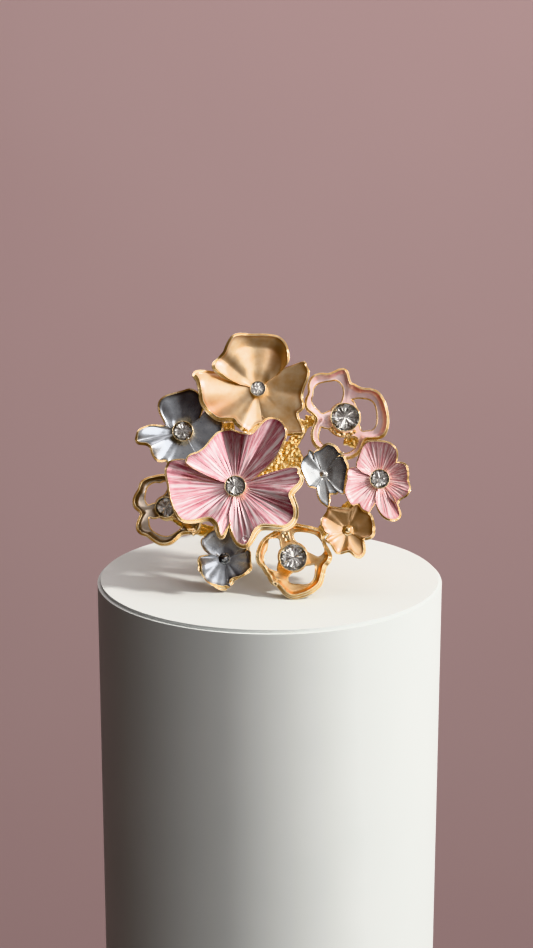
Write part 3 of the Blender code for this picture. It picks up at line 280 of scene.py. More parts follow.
OPENWORK["upper_right"] = {
    "stone": 2.2, "enamel": "pale_pink", "rim": 0.18, "wall": 0.55, "wall_width": 0.9,
    "shade": [(20, 1), (60, 1), (80, 0.5), (100, 0.8), (112, 0.5), (122, 0.05), (300, 0.05), (320, 0.5)],
    "crust": [(212, 312, 2.3, 2.95)],
    "flares": [(0, 0.08), (60, 0.05), (90, 0.05), (140, 0.05), (180, 0.1), (260, 0.15), (340, 0.15)],
    "points": [(6, 2.4, 5, 6.77, 1), (17, 2.4, 5.05, 6.72, 1), (27, 2.4, 5.05, 6.72, 1),
        (36, 2.4, 4.75, 6.68, 1), (46, 2.45, 4.15, 6.25, 1), (57, 2.8, 3.65, 5.55, 0.8),
        (65, 2.9, 3.2, 5.4, 0.7), (74, 5.55, 0.8), (83, 5.95, 1), (88, 7.4, 1.3), (95, 3, 5.2, 7.7, 1.4),
        (103, 2.4, 5.95, 7.45, 1.4), (111, 2.4, 6.1, 7.42, 1.4), (120, 2.4, 6.4, 8, 1.4),
        (129, 2.4, 6.7, 8.2, 1.4), (137, 2.4, 6.6, 7.8, 1.3), (145, 2.4, 6.1, 6.95, 1.1),
        (153, 2.45, 5.8, 6.85, 1), (160, 2.8, 5.1, 6.65, 0.8), (166, 3.1, 4.1, 6.3, 0.7), (174, 5.1, 0.4),
        (185, 4.6, 0.2), (196, 5.2, 0.1), (206, 3.6, 4.3, 5.88, 0.1), (213, 3.1, 4.9, 6.22, 0.1),
        (222, 3, 5.3, 6.47, 0.1), (232, 3, 5.4, 6.45, 0), (246, 3, 5.5, 6.5, 0), (260, 3, 5.6, 6.6, 0),
        (275, 3, 5.5, 6.5, 0), (288, 3.1, 5, 6.1, 0), (298, 3.3, 4.4, 5.5, 0.1), (306, 5, 0.2),
        (316, 4.95, 0.3), (327, 2.8, 3.8, 6.1, 0.5), (335, 2.4, 4.6, 6.75, 0.7), (345, 2.4, 4.95, 6.9, 0.9),
        (356, 2.4, 5, 6.84, 1)]}
BLOSSOMS = {**CLOSED, **OPENWORK}

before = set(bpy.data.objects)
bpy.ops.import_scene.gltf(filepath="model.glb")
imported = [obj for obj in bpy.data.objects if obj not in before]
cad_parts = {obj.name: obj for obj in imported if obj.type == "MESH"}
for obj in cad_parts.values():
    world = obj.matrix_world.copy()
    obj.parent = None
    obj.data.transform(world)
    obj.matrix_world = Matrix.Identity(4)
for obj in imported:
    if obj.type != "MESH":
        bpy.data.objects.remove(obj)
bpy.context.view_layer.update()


# ---- geometry helpers

def to_world(points):
    """Face-axes millimetres to the frame's metres."""
    p = np.asarray(points, float)
    u, v, w = p[..., 0] - FINGER_U, p[..., 1] - FINGER_V, p[..., 2] - FINGER_W
    return np.stack([u, v * sin(LEAN) - w * cos(LEAN), v * cos(LEAN) + w * sin(LEAN)],
                    axis=-1) * MM


def to_face(point):
    """A point in the frame's metres to face-axes millimetres."""
    x, y, z = (c / MM for c in point)
    return np.array([x + FINGER_U, y * sin(LEAN) + z * cos(LEAN) + FINGER_V,
                     -y * cos(LEAN) + z * sin(LEAN) + FINGER_W])


def hub_of(name):
    """A blossom's hub, from its post, which stands behind it."""
    low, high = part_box(name + "_post")
    u, v, w = to_face((low + high) / 2)
    return np.array([u, v, 2 * w - POST_FOOT + POST_SHORT])


def smooth_read(knots, values, at, turn=None):
    """Catmull-Rom reading of values at rising knots, which repeat every turn if that is given."""
    x, y = np.asarray(knots, float), np.asarray(values, float)
    at = np.asarray(at, float)
    if turn:
        at = (at - x[0]) % turn + x[0]
        x = np.concatenate([x[-2:] - turn, x, x[:2] + turn])
        y = np.concatenate([y[-2:], y, y[:2]])
    gap = np.diff(x)
    rate = np.diff(y) / gap
    slope = np.concatenate([[rate[0]], (rate[:-1] * gap[1:] + rate[1:] * gap[:-1])
                            / (gap[:-1] + gap[1:]), [rate[-1]]])
    k = np.clip(np.searchsorted(x, at, "right") - 1, 0, len(x) - 2)
    t = (at - x[k]) / gap[k]
    return ((2 * t ** 3 - 3 * t ** 2 + 1) * y[k] + (t ** 3 - 2 * t ** 2 + t) * gap[k] * slope[k]
            + (3 * t ** 2 - 2 * t ** 3) * y[k + 1] + (t ** 3 - t ** 2) * gap[k] * slope[k + 1])


def round_read(pairs, at):
    """Straight-line reading of (bearing, value) pairs anywhere from 0 to 360."""
    before, after = pairs[-1], pairs[0]
    ring = [(before[0] - 360, before[1])] + pairs + [(after[0] + 360, after[1])]
    return np.interp(at, *zip(*ring))


def ease(x):
    """0 below 0, 1 above 1, and a soft step between them."""
    x = np.clip(x, 0.0, 1.0)
    return x * x * (3 - 2 * x)


class Piece:
    """Collects grids of points on the face's axes, and makes one object of them."""

    def __init__(self):
        self.points, self.faces, self.fields, self.count = [], [], [], 0

    def grid(self, points, wrap=(False, False), flip=False, fields=(0.0, 0.0, 0.0)):
        """Adds a grid of points, closed round its rows or columns, with its three fields."""
        rows, cols = points.shape[:2]
        i, j = np.meshgrid(np.arange(rows - (not wrap[0])), np.arange(cols - (not wrap[1])),
                           indexing="ij")
        i2, j2 = (i + 1) % rows, (j + 1) % cols
        quads = np.stack([i * cols + j, i2 * cols + j, i2 * cols + j2, i * cols + j2],
                         axis=-1).reshape(-1, 4) + self.count
        self.faces += (quads[:, ::-1] if flip else quads).tolist()
        self.points.append(points.reshape(-1, 3))
        values = [np.broadcast_to(field, (rows, cols)) for field in fields]
        self.fields.append(np.stack(values, axis=-1).reshape(-1, 3))
        self.count += rows * cols

    def fan(self, ring, tip, flip=False):
        """Closes a ring of points with triangles to one more point."""
        n = len(ring)
        self.points += [np.asarray(ring).reshape(-1, 3), np.asarray(tip).reshape(1, 3)]
        self.fields.append(np.zeros((n + 1, 3)))
        for k in range(n):
            tri = [self.count + k, self.count + (k + 1) % n, self.count + n]
            self.faces.append(tri[::-1] if flip else tri)
        self.count += n + 1

    def make(self, name, material, stands_for, slot, weld=0.0):
        """One smooth object of all that was added, with points nearer than weld joined."""
        mesh = bpy.data.meshes.new(name)
        mesh.from_pydata(to_world(np.concatenate(self.points)).tolist(), [], self.faces)
        fields = np.concatenate(self.fields)
        for k, field in enumerate(("share", "bearing", "pool_and_shade")):
            layer = mesh.attributes.new(field, "FLOAT", "POINT")
            layer.data.foreach_set("value", fields[:, k].astype(np.float32))
        if weld:
            bm = bmesh.new()
            bm.from_mesh(mesh)
            bmesh.ops.remove_doubles(bm, verts=bm.verts, dist=weld * MM)
            bm.to_mesh(mesh)
            bm.free()
        mesh.shade_smooth()
        place(bpy.data.objects.new(name, mesh), material, stands_for)


def show(obj):
    """Puts an object in the scene."""
    bpy.context.scene.collection.objects.link(obj)
    return obj


def place(obj, material, stands_for):
    """Shows a piece, gives it its material and lets it ride with the ring."""
    if obj.name not in bpy.context.scene.collection.objects:
        show(obj)
    obj.data.materials.clear()
    obj.data.materials.append(material)
    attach(obj, "root")
    if stands_for:
        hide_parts(*stands_for)


def on_face(hub, radius, bearing, height):
    """Points at a radius and bearing (degrees) about a hub and a height above it."""
    a = np.radians(bearing)
    return np.stack([hub[0] + radius * np.cos(a),
                     hub[1] + radius * np.sin(a) * STRETCH - DROOP * height,
                     hub[2] + height], axis=-1)


def below(points, depth):
    """The same points, farther back by a depth."""
    return points - np.array([0, 0, depth])


# The rim's section, from the enamel's edge outwards, over the lip, down into a groove, round the
# outer bead and back underneath: (share of the lip's width, share of the flare, across, up).
RIM_SECTION = [
    (-1.0, 0.0, 0.00, -0.12), (-1.0, 0.0, 0.00, 0.07), (-0.85, 0.0, 0.00, 0.13),
    (-0.5, 0.0, 0.00, 0.16), (-0.15, 0.0, 0.00, 0.12), (0.0, 0.04, 0.00, 0.02),
    (0.0, 0.12, 0.01, -0.16), (0.0, 0.30, 0.02, -0.32), (0.0, 0.60, 0.04, -0.35),
    (0.0, 0.84, 0.06, -0.25), (0.0, 0.94, 0.09, -0.12), (0.0, 1.0, 0.14, -0.10),
    (0.0, 1.0, 0.19, -0.18), (0.0, 1.0, 0.20, -0.30), (0.0, 0.9, 0.12, -0.44),
    (0.0, 0.3, -0.05, -0.50), (-1.0, 0.0, 0.00, -0.48)]
FLARE_DROP = 0.55                # a flared bead also sinks by this share of its flare


def rim(piece, path, outward, width, flare, closed, scale=1.0):
    """Sweeps the rim's section along a path of points, with its outward directions on the face."""
    rows = []
    scale = np.broadcast_to(scale, len(path))
    for lip, part, across, up in RIM_SECTION:
        a = lip * width + part * flare + across * scale
        sink = FLARE_DROP * part * flare
        shift = np.stack([outward[:, 0] * a, outward[:, 1] * a, up * scale - sink], axis=-1)
        rows.append(path + shift)
    piece.grid(np.stack(rows), wrap=(True, closed))


def outward_of(path, closed):
    """Unit directions on the face, to the right of the path's run."""
    if closed:
        run = np.roll(path, -1, 0) - np.roll(path, 1, 0)
    else:
        run = np.gradient(path, axis=0)
    run = run[:, :2]
    run /= np.maximum(np.linalg.norm(run, axis=1, keepdims=True), 1e-9)
    return np.stack([run[:, 1], -run[:, 0]], axis=-1)


def relax(path, passes, closed=False):
    """Rounds the corners of a path."""
    path = path.copy()
    for _ in range(passes):
        if closed:
            path = (np.roll(path, 1, 0) + 2 * path + np.roll(path, -1, 0)) / 4
        else:
            path[1:-1] = (path[:-2] + 2 * path[1:-1] + path[2:]) / 4
    return path


def make_blossom(name, metal, fill, weld=0.0):
    """Makes a blossom's gold and its enamel."""
    colour = BLOSSOMS[name]["enamel"]
    metal.make(name + "_petals", METALS["gold"], [name + "_blossom"], "polished_gold", weld)
    fill.make(name + "_fill", ENAMELS[colour], [name + "_enamel"], "enamel_" + colour, weld)


# ---- closed blossoms

def grooves_at(bearing, share, depth, seed):
    """Fine ridges that run out from the hub, unevenly spaced."""
    if not depth:
        return 0.0
    rng = np.random.default_rng(seed)
    shift = rng.uniform(0, 2 * pi, 4)
    wander = bearing + 1.6 * np.sin(np.radians(bearing) * 5 + shift[0])
    broad = np.abs(np.sin(np.radians(wander) * 22 + shift[1])) ** 0.8
    fine = np.abs(np.sin(np.radians(wander) * 51 + shift[2]))
    mask = 0.65 + 0.35 * np.sin(np.radians(bearing) * 7 + shift[3])
    window = ease(share / 0.3) * (1 - 0.75 * ease((share - 0.55) / 0.4))
    return -depth * window * (0.75 * broad + 0.25 * fine) * mask


def evened(values, window):
    """A running mean over a petal's columns, window in degrees either way."""
    half = int(window / COLUMN_STEP)
    weight = np.hanning(2 * half + 3)[1:-1]
    return np.convolve(np.pad(values, half, "edge"), weight / weight.sum(), "valid")


SKIRT = [(0.04, -0.02), (0.08, -0.10), (0.06, -0.46)]     # (outward, up) past a petal's side


def skirted(grid):
    """Adds columns at a petal's two sides, which round over and run down to its back."""
    sides = []
    for column, inner in ((0, 1), (-1, -2)):
        step = (grid[column] - grid[inner]) * np.array([1, 1, 0])
        step /= np.maximum(np.linalg.norm(step, axis=1, keepdims=True), 1e-6)
        sides.append([grid[column] + step * out + np.array([0, 0, up]) for out, up in SKIRT])
    return np.concatenate([np.stack(sides[0][::-1]), grid, np.stack(sides[1])])


def closed_blossom(name):
    """Overlapping petals, each a thin shell with a rim of its own and a sheet of enamel."""
    metal, fill = Piece(), Piece()
    for number, petal in enumerate(CLOSED[name]["petals"]):
        add_petal(metal, fill, hub_of(name), CLOSED[name], petal, SEED + number)
    make_blossom(name, metal, fill)


def add_petal(metal, fill, hub, spec, petal, seed):
    """One petal: columns of points along bearings, rows of points out from the hub.

    Its rim thins out towards its two ends. Its lift is reached at its edge, however far out that
    is, and is evened along it. The enamel's colour is deeper in the folds and up against the rim,
    partly where it pools and partly as painted shade.
    """
    layer, outline, folds = petal
    start = START_SHARE * (spec["stone"] or BEAD_START)
    knots, reaches, lifts = zip(*outline)
    count = int((knots[-1] - knots[0]) / COLUMN_STEP) + 2
    bearing = np.linspace(knots[0], knots[-1], count)
    reach = smooth_read(knots, reaches, bearing)
    lift = smooth_read(knots, lifts, bearing)
    ends = ease(np.minimum(np.arange(count), count - 1 - np.arange(count)) / END_COLUMNS)
    thick = (0.3 + 0.7 * ends) * round_read(spec["shares"], bearing % 360)
    flare = round_read(spec["flares"], bearing % 360) * ends
    edge = reach - RIM_REACH * thick - flare
    wide = evened(reach, 16.0) - start
    rise = evened(lift / np.clip((edge - start) / wide, 0.6, 1.3) ** CLIMB, 5.0)
    b, span = bearing[:, None], (edge - start)[:, None]

    def folded(share):
        height = np.zeros(share.shape)
        for at, half, fold, begin in folds:
            grown = np.maximum(0.0, (span * share / wide[:, None] - begin) / (1 - begin)) ** 1.2
            height += fold * np.exp(-((b - at) / half) ** 2) * grown
        return height

    def surface(share, lifted=0.0):
        climb = rise[:, None] * (span * share / wide[:, None]) ** CLIMB
        height = climb + layer * ease(share / 0.35) + lifted
        height = height + folded(share) + grooves_at(b, share, spec["grooves"], seed)
        return on_face(hub, start + span * share, b, height)

    rows = np.linspace(0.0, 1.0, PETAL_ROWS)
    middle = surface(np.broadcast_to(rows, (count, PETAL_ROWS)))
    metal.grid(below(middle, SHELL_BACK))
    path = relax(middle[:, -1], 2)
    rim(metal, path, outward_of(relax(path, 2), False), spec["rim"] * thick, flare, False,
        thick * spec["heavy"])

    share = rows[None, :] * (1 - 0.6 * spec["rim"] / span)
    near = ease((share - (1 - 0.7 / span)) * span / 0.6)
    # Painted shade, partly real pooling: the enamel's colour deepens in the folds and up against the rim.
    low = np.clip(-folded(share) / 0.5, 0, 1)
    pool_and_shade = np.clip(0.7 * low + 0.9 * near ** 1.5, 0, 1)
    fields = (share, np.broadcast_to(b / 360, share.shape), pool_and_shade)
    margin = ((len(SKIRT), len(SKIRT)), (0, 0))
    fill.grid(skirted(surface(share, ENAMEL_RISE + MENISCUS * near)), flip=True,
              fields=[np.pad(field, margin, "edge") for field in fields])


# ---- openwork blossoms

def is_spoke(point):
    return len(point) == 3


def openings_of(points):
    """The openings, in order: (first bearing, last bearing, the points between)."""
    n = len(points)
    first = next(k for k in range(n) if is_spoke(points[k]))
    around = [points[(first + k) % n] for k in range(n)]
    around = [((p[0] if first + k < n else p[0] + 360), *p[1:]) for k, p in enumerate(around)]
    openings, run = [], []
    for k, p in enumerate(around):
        if not is_spoke(p):
            run.append(p)
        if run and (is_spoke(p) or k == n - 1):
            before = around[around.index(run[0]) - 1][0]
            after = p[0] if is_spoke(p) else around[0][0] + 360
            openings.append((run[0][0] - SPOKE_SHARE * (run[0][0] - before),
                             run[-1][0] + SPOKE_SHARE * (after - run[-1][0]), run))
            run = []
    return openings


def opening_edges(bearing, openings):
    """Inner and outer radius of the openings at each bearing, equal where there is a spoke."""
    inner = np.full(len(bearing), np.nan)
    outer = np.full(len(bearing), np.nan)
    for b0, b1, run in openings:
        onward = (bearing - b0) % 360 + b0
        inside = onward <= b1 + 1e-6
        x = onward[inside]
        at = [b0] + [p[0] for p in run] + [b1]
        middles = [(p[1] + p[2]) / 2 for p in run]
        halves = [(p[2] - p[1]) / 2 for p in run]
        middle = smooth_read(at, [middles[0]] + middles + [middles[-1]], x)
        half = smooth_read(at, [halves[0] * 0.7] + halves + [halves[-1] * 0.7], x)
        near = np.minimum(x - b0, b1 - x) / 5.0
        half = half * np.sqrt(np.clip(1 - (1 - np.clip(near, 0, 1)) ** 2, 0, 1))
        inner[inside], outer[inside] = middle - half, middle + half
    spoke = np.isnan(inner)
    known = np.flatnonzero(~spoke)
    mids = (inner + outer) / 2
    ring = np.concatenate([bearing[known] - 360, bearing[known], bearing[known] + 360])
    closed = np.interp(bearing, ring, np.tile(mids[known], 3))
    return np.where(spoke, closed, inner), np.where(spoke, closed, outer)


def openwork_blossom(name):
    """One sheet of metal with openings round its hub, rimmed outside and round each opening."""
    spec = OPENWORK[name]
    hub = hub_of(name)
    knots, reaches, lifts = zip(*((p[0], *p[-2:]) for p in spec["points"]))
    start = OPEN_START * spec["stone"]
    wall = spec["wall_width"]
    openings = openings_of(spec["points"])
    steps = list(np.arange(0, 360, OPEN_STEP))
    for b0, b1, _ in openings:
        for extra in END_STEPS:
            steps += [(b0 + extra) % 360, (b1 - extra) % 360]
    bearing = np.array(sorted(set(np.round(steps, 3))))
    reach = smooth_read(knots, reaches, bearing, 360)
    lift = smooth_read(knots, lifts, bearing, 360)
    flare = round_read(spec["flares"], bearing)
    edge = reach - RIM_REACH - flare
    inner, outer = opening_edges(bearing, openings)

    def surface(radius, lifted=0.0):
        s = np.clip((radius - start) / (edge[:, None] - start), 0, 1)
        climb = ease((radius - (edge[:, None] - wall)) / wall)
        height = lift[:, None] * s ** CLIMB + spec["wall"] * climb + lifted
        return on_face(hub, radius, bearing[:, None], height)

    def radii(low, high, rows):
        t = np.linspace(0, 1, rows)[None, :]
        return low[:, None] + (high - low)[:, None] * t

    metal, fill = Piece(), Piece()
    collar = np.full(len(bearing), start)
    for low, high, rows in ((collar, inner, 8), (outer, edge, 16)):
        metal.grid(below(surface(radii(low, high, rows)), SHELL_BACK), wrap=(True, False))
    path = surface(edge[:, None])[:, 0]
    rim(metal, path, outward_of(path, True), np.full(len(path), spec["rim"]), flare, True)
    for b0, b1, _ in openings:
        onward = (bearing - b0) % 360 + b0
        order = [k for k in np.argsort(onward) if onward[k] <= b1 + 1e-6]
        far, near = (surface(side[:, None])[order, 0] for side in (outer, inner))
        loop = np.concatenate([far, near[-2:0:-1]])
        loop = relax(loop[::-1], 1, True)
        rim(metal, loop, outward_of(loop, True), OPENING_LIP, 0.0, True, OPENING_RIM)

    tight = np.where(outer - inner > 0.02, OPENING_MARGIN, 0.0)
    for low, high, rows in ((collar, inner - tight, 9), (outer + tight, edge - 0.15, 16)):
        r = radii(low, high, rows)
        share = np.clip((r - start) / (edge[:, None] - start), 0, 1)
        near = ease((r - (edge[:, None] - 0.5)) / 0.5)
        # Painted shade: the enamel darkens up the outer wall, more on the bearings that shade lists.
        deep = ease((r - (edge[:, None] - wall)) / (0.6 * wall))
        deep = deep * round_read(spec["shade"], bearing)[:, None]
        fill.grid(surface(r, ENAMEL_RISE + 0.5 * MENISCUS * near), wrap=(True, False),
                  flip=True, fields=(share, bearing[:, None] / 360, deep))
    for b0, b1, low, high in spec["crust"]:
        there = np.flatnonzero((bearing >= b0) & (bearing <= b1))
        r = radii(np.full(len(bearing), low), np.full(len(bearing), high), 16)
        sheet = surface(r, CRUST_LIFT)[there]
        sheet[..., 2] += np.array([[CRUST_SHARE * nugget_height(Vector(q)) for q in row]
                                   for row in sheet])
        sheet[[0, -1], :, 2] -= CRUST_EDGE
        sheet[:, [0, -1], 2] -= CRUST_EDGE
        metal.grid(sheet, flip=True)
    make_blossom(name, metal, fill, weld=0.002)


# ---- turned pieces, stones, beads

def turned(piece, hub, profile, steps=56, wobble=None):
    """A profile of (radius, height) points turned about the hub's axis, running down outside."""
    angle = np.linspace(0, 360, steps, endpoint=False)
    a = np.radians(angle)
    rows = []
    for r, z in profile:
        radius = np.full(steps, max(r, 1e-4))
        if wobble is not None:
            radius = radius * wobble(angle, z)
        rows.append(np.stack([hub[0] + radius * np.cos(a), hub[1] + radius * np.sin(a),
                              np.full(steps, hub[2] + z)], axis=-1))
    piece.grid(np.stack(rows), wrap=(False, True))


# A peg's riveted end behind the gallery: (radius, height over the gallery's back).
RIVET = [(0.5, 0.05), (0.72, 0.02), (0.66, -0.14), (0.4, -0.24), (0.0, -0.27)]


def peg(piece, hub, head):
    """A pin that starts with the points of its head and is riveted behind the gallery."""
    tail = -hub[2] + GALLERY_BACK
    turned(piece, hub, head + [(r, tail + z) for r, z in RIVET], 28)


# A cup's profile, from inside its lip down the outside: (share of the stone's radius, further
# out, share of the girdle's height, further up).
CUP = [(0.9, 0.0, 1, -0.12), (1, -0.05, 1, -0.02), (1, -0.03, 1, 0.07), (1, 0.02, 1, 0.10),
       (1, 0.07, 1, 0.08), (1, 0.085, 1, 0.02), (1, 0.06, 1, -0.06), (1, -0.02, 1, -0.2),
       (0.84, 0.0, 1, -0.5), (0.66, 0.0, 0, 0.25), (0.60, 0.0, 0, 0.02)]


def stone_and_cup(name):
    """A turned cup with a fine bright rim, and a cut stone over a mirrored back."""
    stone = BLOSSOMS[name]["stone"]
    hub = hub_of(name)
    girdle = 0.42 + 0.62 * stone
    axis = hub - np.array([0, DROOP * girdle, 0])
    cup = Piece()
    turned(cup, axis, [(r * stone + out, z * girdle + up) for r, out, z, up in CUP])
    peg(cup, hub, [(0.0, 0.3), (0.5, 0.3)])
    cup.make(name + "_cup", METALS["gold"], [name + "_stone_cup"], "polished_gold")
    rng = np.random.default_rng(int(stone * 100) + len(name))
    spin = rng.uniform(0, 45)
    crown(name, axis, stone, girdle, spin)
    silvered_back(name, axis, stone, girdle, spin, rng)


def polar(axis, radius, bearing, height):
    """A point at a radius, bearing (degrees) and height about an axis."""
    a = radians(bearing)
    return (axis[0] + radius * cos(a), axis[1] + radius * sin(a), axis[2] + height)


def crown(name, axis, stone, girdle, spin):
    """The clear part of a stone: an eight-sided table, a crown of triangles and a flat back."""
    points = [polar(axis, 0.60 * stone, spin + 45 * k, girdle + 0.34 * stone) for k in range(8)]
    for up in (0.06, -0.02):
        points += [polar(axis, 0.985 * stone, spin + 22.5 * k - 22.5, girdle + up)
                   for k in range(16)]
    faces = [tuple(range(8))]
    for k in range(8):
        left, middle, right = 8 + 2 * k, 8 + 2 * k + 1, 8 + (2 * k + 2) % 16
        faces += [(k, left, middle), (k, middle, right), (k, right, (k + 1) % 8)]
    for k in range(16):
        after = (k + 1) % 16
        faces.append((8 + k, 24 + k, 24 + after, 8 + after))
    faces.append(tuple(24 + k for k in reversed(range(16))))
    flat_piece(name + "_crystal", points, faces, CRYSTAL, [name + "_stone"])


def silvered_back(name, axis, stone, girdle, spin, rng):
    """The mirror behind a stone: narrow uneven pleats that run in to a shallow centre."""
    depth = 0.07 * stone
    step = 360 / PLEATS
    ring = [polar(axis, 0.97 * stone, spin + step * k,
                  girdle - 0.05 - 0.13 * stone * (k % 2) * rng.uniform(0.4, 1.0))
            for k in range(PLEATS)]
    waist = [polar(axis, 0.42 * stone, spin + step * (k + 0.5),
                   girdle - 0.7 * depth + 0.085 * stone * rng.uniform(-1, 1))
             for k in range(PLEATS)]
    faces = []
    for k in range(PLEATS):
        after = (k + 1) % PLEATS
        faces += [(k, after, PLEATS + k), (after, PLEATS + after, PLEATS + k),
                  (PLEATS + k, PLEATS + after, 2 * PLEATS)]
    points = ring + waist + [polar(axis, 0.0, 0.0, girdle - depth)]
    flat_piece(name + "_foil", points, faces, FOIL, [])


def flat_piece(name, points, faces, material, stands_for):
    """A flat-shaded piece of a stone."""
    mesh = bpy.data.meshes.new(name)
    mesh.from_pydata(to_world(np.array(points)).tolist(), [], faces)
    bm = bmesh.new()
    bm.from_mesh(mesh)
    bmesh.ops.recalc_face_normals(bm, faces=bm.faces)
    bm.to_mesh(mesh)
    bm.free()
    place(bpy.data.objects.new(name, mesh), material, stands_for)


# Blossom: metal, slot, radius of the dome, radius of the ring under it.
BEADS = {"bottom_left": ("gunmetal", "gunmetal_bead", 0.66, 0.85),
         "lower_right": ("gold", "polished_gold", 0.62, 0.82),
         "inner_right": ("silver", "silver_bead", 0.36, 0.52)}


def hammered(angle, height):
    """The uneven radius of the dark bead, as a share."""
    return 1 + 0.05 * np.sin(np.radians(angle * 7 + height * 400)) * np.cos(height * 9)


def bead(name):
    """A domed rivet head on a thin ring."""
    metal, slot, dome, foot = BEADS[name]
    hub = hub_of(name)
    piece = Piece()
    arc = [(dome * sin(k * pi / 18), 0.28 + dome * cos(k * pi / 18)) for k in range(10)]
    ring = [(dome * 0.97, 0.2), (foot, 0.18), (foot + 0.06, 0.1), (foot, 0.0), (0.5, -0.02)]
    turned(piece, hub, arc + ring, 48, hammered if name == "bottom_left" else None)
    peg(piece, hub, [(0.5, 0.1)])
    piece.make(name + "_rivet", METALS[metal], [name + "_bead"], slot)


def post(name):
    """A spacer tube with a solder fillet at its foot."""
    hub = hub_of(name)
    head = hub[2] - POST_SHORT - POST_FOOT
    piece = Piece()
    turned(piece, np.array([hub[0], hub[1], POST_FOOT]), [
        (0.66, head + 0.3), (1.05, head + 0.3), (1.15, head + 0.2), (1.13, 0.45), (1.2, 0.22),
        (1.42, 0.02), (1.5, -0.04)], 40)
    piece.make(name + "_spacer", METALS["gold"], [name + "_post"], "polished_gold")


def dew_drop():
    """The tiny domed stone on the middle blossom's lowest petal."""
    low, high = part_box("dew_stone")
    at = to_face((low + high) / 2)
    dome = [(0.42 * sin(k * pi / 20), 0.46 * cos(k * pi / 20)) for k in range(11)]
    piece = Piece()
    turned(piece, np.array([at[0], at[1] - 0.35, at[2] - 0.2]), dome + [(0.4, -0.08), (0.0, -0.1)],
           32)
    piece.make("dew_drop", CRYSTAL, ["dew_stone"], "crystal")


# ---- gallery and band

def nugget_height(p):
    """Height of the granulated skin at a point in millimetres."""
    near = noise.voronoi(Vector(p) / NUGGET)[0]
    bump = 1.0 - min(1.0, near[0] * 1.25) ** 2
    fine = noise.noise(Vector(p) * 5.0)
    return NUGGET_RISE * (bump - 0.45) + 0.04 * fine


def remeshed(node, name, size, softening=0):
    """A finely meshed copy of a node: the size of its cells in mm, and rounds of softening."""
    obj = show(bpy.data.objects.new(name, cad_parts[node].data.copy()))
    step = obj.modifiers.new("fine", "REMESH")
    step.mode = "VOXEL"
    step.voxel_size = size * MM
    step.use_smooth_shade = True
    if softening:
        obj.modifiers.new("soft", "SMOOTH").iterations = softening
    bpy.context.view_layer.update()
    shaped = obj.evaluated_get(bpy.context.evaluated_depsgraph_get())
    mesh = bpy.data.meshes.new_from_object(shaped)
    obj.modifiers.clear()
    obj.data = mesh
    return obj


def granulated(node, name):
    """A flat cast frame with a granulated skin, lower on its back."""
    obj = remeshed(node, name, GALLERY_CELL)
    mesh = obj.data
    mesh.name = name
    back = Vector((0, cos(LEAN), -sin(LEAN)))
    moved = []
    for vert in mesh.vertices:
        rise = nugget_height(vert.co / MM)
        if vert.normal.dot(back) > 0.8:
            rise *= BACK_SHARE
        moved.append(vert.co + vert.normal * rise * MM)
    for vert, co in zip(mesh.vertices, moved):
        vert.co = co
    mesh.shade_smooth()
    place(obj, METALS["rough_gold"], [node])


def saddle():
    """The pad soldered between the gallery and the band."""
    obj = remeshed("shank_saddle", "saddle_pad", SADDLE_CELL, 6)
    obj.data.shade_smooth()
    place(obj, METALS["gold"], ["shank_saddle"])


def band_section():
    """The band's section, from -1 to 1 across and through it: rounder outside than inside."""
    section = []
    for k in range(BAND_SIDES):
        a = 2 * pi * k / BAND_SIDES
        x = np.sign(cos(a)) * abs(cos(a)) ** 0.55
        y = np.sign(sin(a)) * abs(sin(a)) ** (0.6 if sin(a) > 0 else 0.8)
        section.append((x, y))
    return section


def band():
    """The open shank, narrowing to rounded ends."""
    section = band_section()
    rows = []
    for i in range(BAND_STEPS):
        along = -1 + 2 * i / (BAND_STEPS - 1)
        width = BAND_WIDTH + (BAND_END - BAND_WIDTH) * along ** 2
        tip = max(0.0, abs(along) - 0.955) / 0.045
        width *= max(0.03, 1 - tip ** 2.2) ** 0.5
        wall = BAND_WALL * (1 - 0.25 * tip ** 3)
        angle = radians(90 + along * (360 - BAND_OPENING) / 2)
        ring = []
        for x, y in section:
            radius = BAND_RADIUS + BAND_WALL / 2 + y * wall / 2
            ring.append((FINGER_U + x * width / 2, FINGER_V + radius * cos(angle),
                         FINGER_W + radius * sin(angle)))
        rows.append(ring)
    rows = np.array(rows)
    piece = Piece()
    piece.grid(rows, wrap=(False, True))
    for ring, flip in ((rows[0], False), (rows[-1], True)):
        piece.fan(ring, ring.mean(0), flip)
    piece.make("shank", METALS["gold"], ["finger_band"], "polished_gold")


# ---- materials

